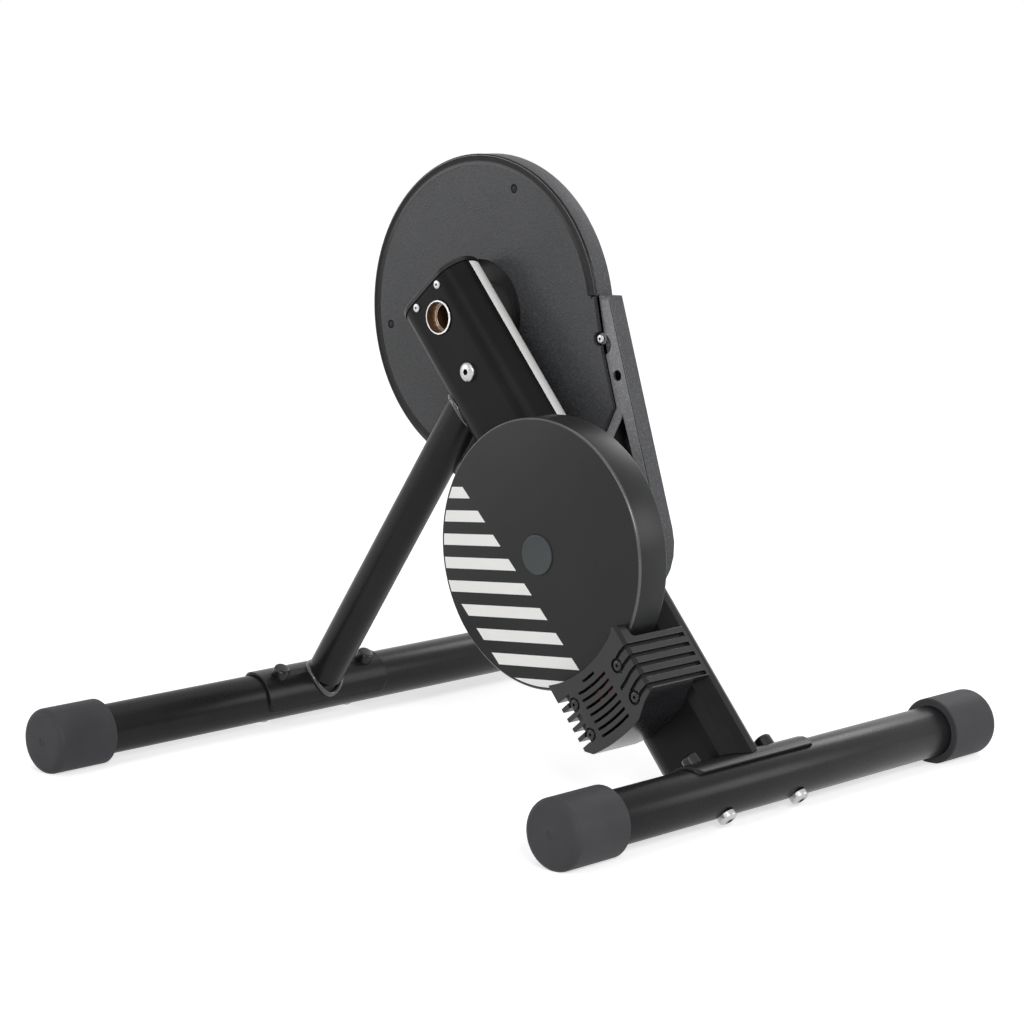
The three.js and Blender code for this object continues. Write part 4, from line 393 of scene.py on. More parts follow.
def steep_edges(mesh: BMesh, angle: float = SHARP_ANGLE) -> list[BMEdge]:
    """Returns the edges where two faces meet at more than an angle in degrees."""
    limit = math.radians(angle)
    return [e for e in mesh.edges if len(e.link_faces) == 2 and e.calc_face_angle(0.0) > limit]


def everything(mesh: BMesh) -> list[bpy.types.bpy_struct]:
    """Returns all vertices, edges and faces of a mesh."""
    return mesh.verts[:] + mesh.edges[:] + mesh.faces[:]


def round_edges(mesh: BMesh, edges: Sequence[BMEdge], width: float, segments: int = 2) -> None:
    """Rounds some edges of a mesh by a width, with a number of faces across."""
    bmesh.ops.bevel(mesh, geom=edges, offset=width, segments=segments, profile=0.5, affect="EDGES",
                    clamp_overlap=True, material=-1)


def share_rounding(mesh: BMesh, width: float) -> None:
    """Sets how much of a rounding each sharp edge gets, so that short edges get a narrower one.

    Args:
        mesh: Mesh whose edges are weighted.
        width: Full width of the rounding.
    """
    weights = mesh.edges.layers.float.new("bevel_weight_edge")
    sharp = set(steep_edges(mesh, ROUNDED_ANGLE))
    for edge in sharp:
        room = min(other.calc_length() for vert in edge.verts for other in vert.link_edges if other in sharp)
        edge[weights] = min(1.0, ROUNDING_SHARE * room / width)


def facing_out(mesh: BMesh) -> None:
    """Merges doubled corners and points every face outwards."""
    bmesh.ops.remove_doubles(mesh, verts=mesh.verts, dist=MERGE_DISTANCE)
    bmesh.ops.recalc_face_normals(mesh, faces=mesh.faces)


def push(mesh: BMesh, made: dict[str, list], reach: Vector) -> None:
    """Moves the vertices that an extrusion has made."""
    moved = [item for item in made["geom"] if isinstance(item, BMVert)]
    bmesh.ops.translate(mesh, verts=moved, vec=reach)


def turned(profile: Sequence[Pair], steps: int, closed: bool = False) -> BMesh:
    """Spins a profile about the Y axis.

    Args:
        profile: Pairs of radius and place along the axis.
        steps: Number of steps round.
        closed: Whether the last point joins the first one.

    Returns:
        The turned mesh, about the origin.
    """
    mesh = bmesh.new()
    corners = [mesh.verts.new((radius, place, 0.0)) for radius, place in profile]
    chain = list(zip(corners, corners[1:]))
    if closed:
        chain.append((corners[-1], corners[0]))
    edges = [mesh.edges.new(pair) for pair in chain]
    bmesh.ops.spin(mesh, geom=corners + edges, cent=ORIGIN, axis=DEPTH, angle=math.tau, steps=steps,
                   use_merge=True)
    facing_out(mesh)
    return mesh


def swept(section: Sequence[Vector], centre: Vector, axis: Vector, angle: float, steps: int) -> BMesh:
    """Sweeps a closed section part of the way round an axis.

    Args:
        section: Corners of the section.
        centre: Place on the axis.
        axis: Direction of the axis.
        angle: Angle of the sweep, in degrees.
        steps: Number of steps.

    Returns:
        The closed mesh.
    """
    mesh = bmesh.new()
    face = mesh.faces.new([mesh.verts.new(corner) for corner in section])
    bmesh.ops.spin(mesh, geom=[face], cent=centre, axis=axis, angle=math.radians(angle), steps=steps)
    facing_out(mesh)
    return mesh


def rounded_corner(radius: float, end: float, rounding: float, steps: int) -> list[Pair]:
    """Gives the part of a profile that goes round an outer corner.

    Args:
        radius: Radius of the side.
        end: Place of the end along the axis.
        rounding: Radius of the corner.
        steps: Number of steps round the corner.

    Returns:
        Pairs of radius and place, from the side to the end.
    """
    turns = [math.pi / 2 * step / steps for step in range(steps + 1)]
    side, middle = radius - rounding, end - rounding
    return [(side + rounding * math.cos(turn), middle + rounding * math.sin(turn)) for turn in turns]


def placed(mesh: BMesh, centre: Vector, direction: Vector = DEPTH) -> BMesh:
    """Turns a mesh from the Y axis to a direction and moves it to a centre.

    Args:
        mesh: Mesh about the origin.
        centre: New place of the origin.
        direction: New direction of the Y axis.

    Returns:
        The same mesh.
    """
    turn = DEPTH.rotation_difference(direction.normalized()).to_matrix().to_4x4()
    bmesh.ops.transform(mesh, matrix=Matrix.Translation(centre) @ turn, verts=mesh.verts)
    return mesh


def weld_bead(path: Sequence[Vector], radius: float) -> BMesh:
    """Bridges circles along a closed path.

    Args:
        path: Places that the bead's middle follows.
        radius: Radius of the bead.

    Returns:
        The closed bead.
    """
    mesh = bmesh.new()
    rings = []
    count = len(path)
    for index, place in enumerate(path):
        ahead = path[(index + 1) % count] - path[index - 1]
        turn = Vector((0, 0, 1)).rotation_difference(ahead.normalized()).to_matrix().to_4x4()
        size = radius * (1 - BEAD_RIPPLE * (index % 2))
        made = bmesh.ops.create_circle(mesh, segments=BEAD_SIDES, radius=size,
                                       matrix=Matrix.Translation(place) @ turn)
        rings.append(list({edge for vert in made["verts"] for edge in vert.link_edges}))
    for index in range(count):
        bmesh.ops.bridge_loops(mesh, edges=rings[index] + rings[(index + 1) % count])
    bmesh.ops.recalc_face_normals(mesh, faces=mesh.faces)
    return mesh


# Pieces


def as_data(name: str, mesh: BMesh) -> Mesh:
    """Turns a mesh that is being shaped into mesh data, and frees it.

    Args:
        name: Name of the data.
        mesh: Mesh, which is used up.

    Returns:
        The new data.
    """
    data = bpy.data.meshes.new(name)
    mesh.to_mesh(data)
    mesh.free()
    return data


def in_scene(name: str, data: bpy.types.ID) -> Object:
    """Puts an object with some data in the scene.

    Args:
        name: Name of the object.
        data: Mesh, light or camera.

    Returns:
        The new object.
    """
    made = bpy.data.objects.new(name, data)
    bpy.context.scene.collection.objects.link(made)
    return made


def set_up(name: str, mesh: BMesh, finish: Finish, node: str = "", body: Body = Body.FRAME,
           smooth_angle: float = SHARP_ANGLE) -> Object:
    """Makes a piece of a mesh in millimetres and sets it on its body.

    Args:
        name: Name of the piece.
        mesh: Mesh in the row frame, which is used up.
        finish: Finish of the piece.
        node: CAD node that it takes the place of, if any.
        body: Body that carries it.
        smooth_angle: Angle in degrees past which an edge stays sharp.

    Returns:
        The new object.
    """
    bmesh.ops.scale(mesh, vec=(MM, MM, MM), verts=mesh.verts)
    for face in mesh.faces:
        face.smooth = True
    for edge in steep_edges(mesh, smooth_angle):
        edge.smooth = False
    data = as_data(name, mesh)
    piece = in_scene(name, data)
    data.materials.append(finish.material())
    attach(piece, body.value)
    if node:
        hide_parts(node)
    log.info("%s: %d faces", name, len(data.polygons))
    return piece


def repaint(piece: Object, finish: Finish, chosen: Chooser) -> None:
    """Gives some of a piece's faces a second finish.

    Args:
        piece: Piece to change.
        finish: Finish for the chosen faces.
        chosen: Says from a face's middle, in millimetres, and its direction whether it is chosen.
    """
    piece.data.materials.append(finish.material())
    index = len(piece.data.materials) - 1
    for face in piece.data.polygons:
        if chosen(face.center / MM, face.normal):
            face.material_index = index


def dress(node: str, finish: Finish, rounding: float = 0.3, segments: int = 2,
          body: Body = Body.FRAME) -> Object:
    """Puts a merged copy with rounded edges in the place of a CAD node.

    Args:
        node: Name of the node.
        finish: Finish of the copy.
        rounding: Width of the rounding, or 0 for none.
        segments: Faces across the rounding.
        body: Body that carries the node.

    Returns:
        The new piece.
    """
    mesh = bmesh.new()
    mesh.from_mesh(FRAME["nodes"][node].data)
    bmesh.ops.scale(mesh, vec=(1 / MM,) * 3, verts=mesh.verts)
    bmesh.ops.remove_doubles(mesh, verts=mesh.verts, dist=COPY_MERGE_DISTANCE)
    if rounding > 0:
        share_rounding(mesh, rounding)
    piece = set_up(f"{node}_dressed", mesh, finish, node, body)
    if rounding > 0:
        bevel = piece.modifiers.new("rounded_edges", "BEVEL")
        bevel.width = rounding * MM
        bevel.segments = segments
        bevel.limit_method = "WEIGHT"
        bevel.use_clamp_overlap = False
    shading = piece.modifiers.new("even_shading", "WEIGHTED_NORMAL")
    shading.keep_sharp = True
    return piece


@dataclass(frozen=True)
class ScrewHead:
    """Round screw head with a domed edge and a hexagonal recess painted near-black as painted shade."""

    radius: float
    height: float
    recess: float
    dome_share: float = 0.3
    dark_height: float = 0.0
    dome_steps: int = 8
    flat_share: float = 0.35
    depth_share: float = 0.75
    floor_share: float = 0.92
    cone: float = 1.1
    sides: int = 6
    reach_spare: float = 1.01
    tolerance: float = 1e-3
    low: float = 0.1
    face_spare: float = 0.02

    def mesh(self) -> BMesh:
        """Makes the head with its seat at the origin and its face towards -Y, and draws its recess hexagonal.

        Returns:
            The head.
        """
        base = self.height * (1 - self.dome_share)
        mouth = self.recess / 2
        depth = self.height * self.depth_share
        floor = -self.height + depth * self.cone
        profile: list[Pair] = [(0.0, 0.0), (self.radius, 0.0)]
        for step in range(self.dome_steps + 1):
            angle = math.pi / 2 * step / self.dome_steps
            size = self.radius * (self.flat_share + (1 - self.flat_share) * math.cos(angle))
            profile.append((size, -base - (self.height - base) * math.sin(angle)))
        profile += [(mouth, -self.height), (mouth * self.floor_share, -self.height + depth), (0.0, floor)]
        mesh = turned(profile, HEAD_STEPS)
        sector = math.tau / self.sides
        for vert in mesh.verts:
            reach = math.hypot(vert.co.x, vert.co.z)
            is_deep = -self.height - self.tolerance <= vert.co.y <= floor + self.tolerance
            if is_deep and 0 < reach <= mouth * self.reach_spare:
                offset = math.atan2(vert.co.z, vert.co.x) % sector - sector / 2
                share = math.cos(sector / 2) / math.cos(offset)
                vert.co.x *= share
                vert.co.z *= share
        return mesh

    def fit(self, node: str, seat: Vector, out: Vector = -DEPTH, finish: Finish = ZINC,
            slot: Slot = Slot.BRIGHT) -> None:
        """Sets the head up in the place of a CAD node.

        Args:
            node: Name of the node.
            seat: Place of the head's seat.
            out: Direction in which the head points.
            finish: Finish of the head.
            slot: Material slot of the record; not used.
        """
        high = self.height - self.face_spare

        def is_low(middle: Vector, _: Vector) -> bool:
            """Says whether a face lies in the dark part under the head."""
            return (middle - seat).dot(out) < self.dark_height

        def in_recess(middle: Vector, _: Vector) -> bool:
            """Says whether a face lies in the recess."""
            offset = middle - seat
            return offset.cross(out).length < self.recess / 2 and self.low < offset.dot(out) < high

        piece = set_up(f"{node}_head", placed(self.mesh(), seat, -out), finish, node)
        if self.dark_height > 0:
            repaint(piece, BLACK_OXIDE, is_low)
        # Paints the recess near-black: painted shade in the hollow.
        repaint(piece, NEAR_BLACK_AND_SHADE, in_recess)


# Sub-assemblies


@dataclass(frozen=True)
class Foot:
    """One floor bar: its axis, its length over the caps and the angle and spacing of its bolts."""

    end: str
    bar: Vector
    length: float
    bolt_angle: float
    bolt_spacing: float


@dataclass
class Stand:
    """Two floor bars with rubber caps, saddles, bolts and nuts."""

    feet: tuple[Foot, ...] = (
        Foot("front", FRONT_BAR, 611.0, 57.0, 91.0), Foot("rear", REAR_BAR, 472.0, 134.0, 79.2),
    )
    bar_radius: float = 19.35
    bar_bore: float = 16.85
    bar_rounding: float = 0.5
    clearance: float = 0.3
    end_thickness: float = 5.0
    cap_radius: float = 25.2
    cap_length: float = 52.5
    cap_rounding: float = 6.0
    cap_steps: int = 10
    mouth_chamfer: float = 0.8
    mark: tuple[Pair, ...] = ((3.4, 0.0), (3.0, 0.5), (1.4, 0.5), (1.0, 0.2), (0.0, 0.2))
    nut_radius: float = 6.7
    nut_base: float = 21.6
    nut_top: float = 30.2
    nut_rounding: float = 2.4
    nut_steps: int = 6
    bolt_head: ScrewHead = ScrewHead(7.0, 5.4, 6.2, dome_share=0.45, dark_height=1.4)
    bolt_seat: float = 19.6
    saddle_rounding: float = 0.5

    def build(self) -> None:
        """Makes both bars with everything on them."""
        for foot in self.feet:
            self.floor_bar(foot)
            turn = math.radians(foot.bolt_angle)
            out = Vector((math.cos(turn), 0.0, math.sin(turn)))
            for side, sign in (("left", -1), ("right", 1)):
                self.foot_cap(f"foot_cap_{foot.end}_{side}", foot, sign)
                place = foot.bar + DEPTH * (BEAM_CENTRE_Y + sign * foot.bolt_spacing / 2)
                self.nut(f"{foot.end}_leg_nut_{side}", place, out)
                self.bolt_head.fit(f"{foot.end}_leg_bolt_{side}", place - out * self.bolt_seat, -out)
            dress(f"{foot.end}_saddle", BLACK_PAINT, self.saddle_rounding)

    def floor_bar(self, foot: Foot) -> None:
        """Makes one floor bar.

        Args:
            foot: Sizes of the bar.
        """
        reach = foot.length / 2 - self.end_thickness - self.clearance
        outer, inner = self.bar_radius, self.bar_bore
        mesh = turned([(inner, -reach), (outer, -reach), (outer, reach), (inner, reach)], TUBE_STEPS, True)
        round_edges(mesh, steep_edges(mesh), self.bar_rounding)
        name = f"{foot.end}_floor_bar"
        set_up(f"{name}_tube", placed(mesh, foot.bar), BLACK_PAINT, name)

    def foot_cap(self, name: str, foot: Foot, sign: int) -> None:
        """Makes one rubber cap with a rounded end, a flat pad and a moulding mark.

        Args:
            name: Name of the CAD node.
            foot: Sizes of the bar.
            sign: Side of the cap, -1 or 1.
        """
        end = foot.length / 2
        floor, mouth = end - self.end_thickness, end - self.cap_length
        inside, radius = self.bar_radius + self.clearance, self.cap_radius
        profile: list[Pair] = [(0.0, floor), (inside, floor), (inside, mouth),
                               (radius - self.mouth_chamfer, mouth), (radius, mouth + self.mouth_chamfer)]
        profile += rounded_corner(radius, end, self.cap_rounding, self.cap_steps)
        profile += [(size, end - depth) for size, depth in self.mark]
        mesh = turned(profile, TUBE_STEPS)
        if sign < 0:
            bmesh.ops.rotate(mesh, cent=ORIGIN, matrix=Matrix.Rotation(math.pi, 3, "Z"), verts=mesh.verts)
        placed(mesh, foot.bar)
        cut = bmesh.ops.bisect_plane(mesh, geom=everything(mesh), plane_co=ORIGIN, plane_no=(0, 0, 1),
                                     clear_inner=True)
        rim = [item for item in cut["geom_cut"] if isinstance(item, BMEdge)]
        bmesh.ops.holes_fill(mesh, edges=rim)
        bmesh.ops.recalc_face_normals(mesh, faces=mesh.faces)
        set_up(f"{name}_moulding", mesh, RUBBER, name)

    def nut(self, name: str, place: Vector, out: Vector) -> None:
        """Makes one black nut with a rounded top.

        Args:
            name: Name of the CAD node.
            place: Place on the bar's axis.
            out: Direction in which the nut points.
        """
        profile: list[Pair] = [(0.0, self.nut_base), (self.nut_radius, self.nut_base)]
        profile += rounded_corner(self.nut_radius, self.nut_top, self.nut_rounding, self.nut_steps)
        profile.append((0.0, self.nut_top))
        mesh = placed(turned(profile, HEAD_STEPS), place, out)
        set_up(f"{name}_domed", mesh, BLACK_OXIDE, name)


@dataclass
class Beam:
    """Leaning flat oval beam with its end cap, its stripe, the strut and their welds."""

    depth: float = 78.0
    thickness: float = 40.0
    shift: float = -1.0
    rounding: float = 0.4
    outline_steps: int = 20
    plate_start: float = -24.8
    plate: float = 4.7
    plate_overhang: float = 0.6
    plate_rounding: float = 3.0
    plate_segments: int = 6
    screw_seat: float = BEAM_NEAR_Y - 0.05
    end_screw: ScrewHead = ScrewHead(3.2, 1.3, 3.4)
    end_screw_along: float = -20.0
    end_screw_across: float = 14.7
    face_screw: ScrewHead = ScrewHead(7.3, 3.6, 5.6, dome_share=0.5)
    face_screw_along: float = 50.6
    stripe_start: float = -4.0
    stripe_end: float = 50.0
    stripe_top: float = -23.6
    stripe_foot: float = 205.0
    stripe_steps: int = 16
    ink: float = 0.06
    strut_radius: float = 15.0
    strut_wall: float = 2.5
    strut_joint: float = 49.5
    strut_lead: float = 4.5
    strut_start: float = 24.0
    strut_spare: float = 21.4
    saddle_radius: float = 22.45
    search_reach: float = 120.0
    search_steps: int = 40
    bead_steps: int = 72
    bead_smoothness: float = 80.0
    top_bead: float = 2.6
    foot_bead: float = 2.4

    @property
    def flat(self) -> float:
        """Half the width of the beam's flat faces."""
        return (self.depth - self.thickness) / 2

    def build(self) -> None:
        """Makes the beam and all that is welded or screwed to it."""
        dress("main_beam", GREY_PAINT, self.rounding)
        self.end_cap()
        for number, side in ((1, -1), (2, 1)):
            place = beam_place(self.end_screw_along, side * self.end_screw_across, self.screw_seat)
            self.end_screw.fit(f"end_cap_screw_{number}", place)
        place = beam_place(self.face_screw_along, self.shift, self.screw_seat)
        self.face_screw.fit("beam_face_screw", place)
        self.stripe()
        self.strut()

    def outline(self, along: float, grow: float) -> list[Vector]:
        """Gives the beam's outline at a distance from the axle.

        Args:
            along: Distance along the beam.
            grow: How much larger than the beam it is.

        Returns:
            Corners of the outline.
        """
        radius = self.thickness / 2 + grow
        corners = []
        for side in (1, -1):
            for step in range(self.outline_steps + 1):
                angle = math.pi * step / self.outline_steps
                across = side * (self.flat + radius * math.sin(angle)) + self.shift
                corners.append(beam_place(along, across, BEAM_CENTRE_Y + side * radius * math.cos(angle)))
        return corners

    def end_cap(self) -> None:
        """Makes the plate that closes the beam's top, with a rounded outer edge."""
        mesh = bmesh.new()
        corners = self.outline(self.plate_start, self.plate_overhang)
        face = mesh.faces.new([mesh.verts.new(corner) for corner in corners])
        push(mesh, bmesh.ops.extrude_face_region(mesh, geom=[face]), -ALONG * self.plate)
        bmesh.ops.recalc_face_normals(mesh, faces=mesh.faces)
        limit = self.plate_start - self.plate / 2
        outer = [e for e in mesh.edges if all((v.co - AXLE).dot(ALONG) < limit for v in e.verts)]
        round_edges(mesh, outer, self.plate_rounding, self.plate_segments)
        set_up("beam_end_cap_plate", mesh, BLACK_PLASTIC, "beam_end_cap")

    def stripe(self) -> None:
        """Makes the pale painted stripe on the beam's rounded rear edge."""
        radius = self.thickness / 2 + self.ink
        mesh = bmesh.new()
        corners = []
        for step in range(self.stripe_steps + 1):
            turn = self.stripe_start + (self.stripe_end - self.stripe_start) * step / self.stripe_steps
            angle = math.radians(turn)
            across = self.shift + self.flat + radius * math.cos(angle)
            place = beam_place(self.stripe_top, across, BEAM_CENTRE_Y + radius * math.sin(angle))
            corners.append(mesh.verts.new(place))
        edges = [mesh.edges.new(pair) for pair in zip(corners, corners[1:])]
        made = bmesh.ops.extrude_edge_only(mesh, edges=edges)
        push(mesh, made, ALONG * (self.stripe_foot - self.stripe_top))
        bmesh.ops.recalc_face_normals(mesh, faces=mesh.faces)
        if sum(face.normal.dot(ACROSS) for face in mesh.faces) < 0:
            bmesh.ops.reverse_faces(mesh, faces=mesh.faces)
        bmesh.ops.solidify(mesh, geom=mesh.faces[:], thickness=self.ink * 2)
        bmesh.ops.recalc_face_normals(mesh, faces=mesh.faces)
        set_up("beam_stripe", mesh, STRIPE_INK)

    def strut(self) -> None:
        """Makes the front strut and the weld beads at both of its ends."""
        top = beam_place(self.strut_joint, 0.0, BEAM_CENTRE_Y)
        span = FRONT_BAR + DEPTH * BEAM_CENTRE_Y - top
        lean = math.asin(self.strut_lead / span.length)
        direction = Matrix.Rotation(-lean, 3, "Y") @ span.normalized()
        start, end = self.strut_start, span.length - self.strut_spare
        outer, inner = self.strut_radius, self.strut_radius - self.strut_wall
        mesh = turned([(inner, start), (outer, start), (outer, end), (inner, end)], TUBE_STEPS, True)
        set_up("front_strut_tube", placed(mesh, top, direction), BLACK_PAINT, "front_strut")
        self.bead("strut_top_weld", top, direction, self.beam_reach, self.top_bead)
        self.bead("strut_foot_weld", top, direction, self.saddle_reach, self.foot_bead)

    def beam_reach(self, place: Vector, direction: Vector) -> float:
        """Distance from a place to the beam's surface along a direction.

        Args:
            place: Place inside the beam.
            direction: Direction to look in.

        Returns:
            The distance.
        """
        low, high = 0.0, self.search_reach
        for _ in range(self.search_steps):
            middle = (low + high) / 2
            spot = place + direction * middle - AXLE
            past_flat = max(abs(spot.dot(ACROSS) - self.shift) - self.flat, 0.0)
            is_inside = math.hypot(past_flat, spot.y - BEAM_CENTRE_Y) < self.thickness / 2
            low, high = (middle, high) if is_inside else (low, middle)
        return low

    def saddle_reach(self, place: Vector, direction: Vector) -> float:
        """Distance from a place to the front saddle's outer face along a direction.

        Args:
            place: Place above the saddle.
            direction: Direction to look in.

        Returns:
            The distance.
        """
        offset = Vector((place.x - FRONT_BAR.x, 0.0, place.z - FRONT_BAR.z))
        run = Vector((direction.x, 0.0, direction.z))
        half = offset.dot(run) / run.length_squared
        spare = self.saddle_radius**2 - (offset - run * half).length_squared
        return -half - math.sqrt(max(spare, 0.0)) / run.length

    def bead(self, name: str, top: Vector, direction: Vector, reach: Callable[[Vector, Vector], float],
             size: float) -> None:
        """Makes a weld bead round the strut where it meets another part.

        Args:
            name: Name of the bead.
            top: A place on the strut's axis.
            direction: Direction of the strut.
            reach: Gives the distance to the other part's surface.
            size: Radius of the bead.
        """
        side = direction.cross(DEPTH).normalized()
        path = []
        for index in range(self.bead_steps):
            angle = math.tau * index / self.bead_steps
            spot = top + (side * math.cos(angle) + DEPTH * math.sin(angle)) * self.strut_radius
            path.append(spot + direction * reach(spot, direction))
        set_up(name, weld_bead(path, size), WELD, smooth_angle=self.bead_smoothness)


@dataclass
class Casing:
    """Round belt casing with its tapering guard, screws and studs."""

    band: tuple[Pair, ...] = (
        (113.7, -8.3), (114.0, -8.52), (115.2, -8.5), (120.6, -8.05), (120.9, -8.2), (121.5, -8.15),
        (122.1, -7.8), (122.42, -7.3), (122.42, -6.75), (120.5, -6.75), (120.5, -7.4),
    )
    wall: tuple[Pair, ...] = (
        (121.9, -6.35), (122.14, -6.1), (122.2, -5.6), (122.2, 9.1), (121.95, 9.75), (115.15, 14.52),
        (114.8, 14.3), (119.8, 9.0), (119.8, -6.0),
    )
    band_start: float = 9.6
    band_end: float = 250.4
    band_steps: int = 180
    lip: Pair = (120.9, 121.5)
    lip_facing: float = -0.5
    flange: Pair = (-5.5, -3.0)
    flange_facing: float = -0.3
    cover_rounding: float = 0.25
    shell_rounding: float = 0.3
    screw_rounding: float = 0.2
    guard_screw: ScrewHead = ScrewHead(3.4, 2.2, 3.2)
    guard_screw_place: tuple[float, float, float] = (88.4, 86.5, -4.8)

    def build(self) -> None:
        """Makes the cover, the shell and what holds them."""
        dress("casing_cover", COVER_PLASTIC, self.cover_rounding)
        band = set_up("casing_cover_band", self.sweep(self.band), BAND_PLASTIC)
        # The outer lip is painted light grey: a painted highlight line.
        repaint(band, LIP_HIGHLIGHT_PLASTIC, self.on_lip)
        shell = dress("casing_shell", SHELL_PLASTIC, self.shell_rounding)
        repaint(shell, GUARD_PLASTIC, self.on_flange)
        set_up("casing_shell_wall", self.sweep(self.wall), SHELL_PLASTIC)
        for number in (1, 2, 3):
            dress(f"casing_screw_{number}", NEAR_BLACK_AND_SHADE, self.screw_rounding)
        self.guard_screw.fit("guard_screw", beam_place(*self.guard_screw_place))
        for number in (1, 2):
            dress(f"casing_stud_{number}", BLACK_OXIDE)

    def sweep(self, profile: Sequence[Pair]) -> BMesh:
        """Sweeps a closed profile round the axle, over the part of the casing outside the guard.

        Args:
            profile: Pairs of radius and place along the axle.

        Returns:
            The closed mesh.
        """
        start = math.radians(self.band_start)
        section = [Vector((x * math.cos(start), y, x * math.sin(start))) for x, y in profile]
        return placed(swept(section, ORIGIN, -DEPTH, self.band_end - self.band_start, self.band_steps), AXLE)

    def on_lip(self, middle: Vector, normal: Vector) -> bool:
        """Says whether a face of the band lies on its narrow outer lip, which gets the painted highlight."""
        radius = math.hypot(middle.x - AXLE.x, middle.z - AXLE.z)
        return normal.y < self.lip_facing and self.lip[0] < radius < self.lip[1]

    def on_flange(self, middle: Vector, normal: Vector) -> bool:
        """Says whether a face of the shell lies on the guard's coarse near side."""
        return normal.y < self.flange_facing and self.flange[0] < middle.y < self.flange[1]


@dataclass
class BeltDrive:
    """Belt, pulleys and bearings inside the casing."""

    pulley_rounding: float = 0.2
    bearing_rounding: float = 0.4

    def build(self) -> None:
        """Makes the belt drive's pieces."""
        dress("drive_belt", BELT_RUBBER, 0.0)
        dress("drive_pulley", PULLEY_PLASTIC, body=Body.PULLEY)
        dress("flywheel_pulley", BLACK_OXIDE, self.pulley_rounding, body=Body.FLYWHEEL)
        dress("shaft_nut", ZINC, body=Body.FLYWHEEL)
        for node in ("pulley_bearing_near", "pulley_bearing_far"):
            dress(node, ZINC, self.bearing_rounding)


@dataclass
class Hub:
    """Fixed axle tube and the freehub on it."""

    tube_rounding: float = 0.2
    freehub_rounding: float = 0.25
    ring_rounding: float = 0.4
    bore_limit: float = 11.95
    bore_end: float = BEAM_NEAR_Y + 8.0
    ring_facing: float = -0.5

    def build(self) -> None:
        """Makes the axle tube, the freehub and its end cap."""
        tube = dress("axle_tube", BRONZE, self.tube_rounding)
        repaint(tube, CHROME, self.on_ring)
        dress("freehub_body", BLACK_OXIDE, self.freehub_rounding, body=Body.FREEHUB)
        dress("freehub_bearing", ZINC, self.ring_rounding)
        dress("drive_side_end_cap", ZINC, self.ring_rounding)

    def on_ring(self, middle: Vector, normal: Vector) -> bool:
        """Says whether a face of the axle tube lies outside its bore or on its near end."""
        is_outside = math.hypot(middle.x - AXLE.x, middle.z - AXLE.z) > self.bore_limit
        return is_outside or (middle.y < self.bore_end and normal.y < self.ring_facing)


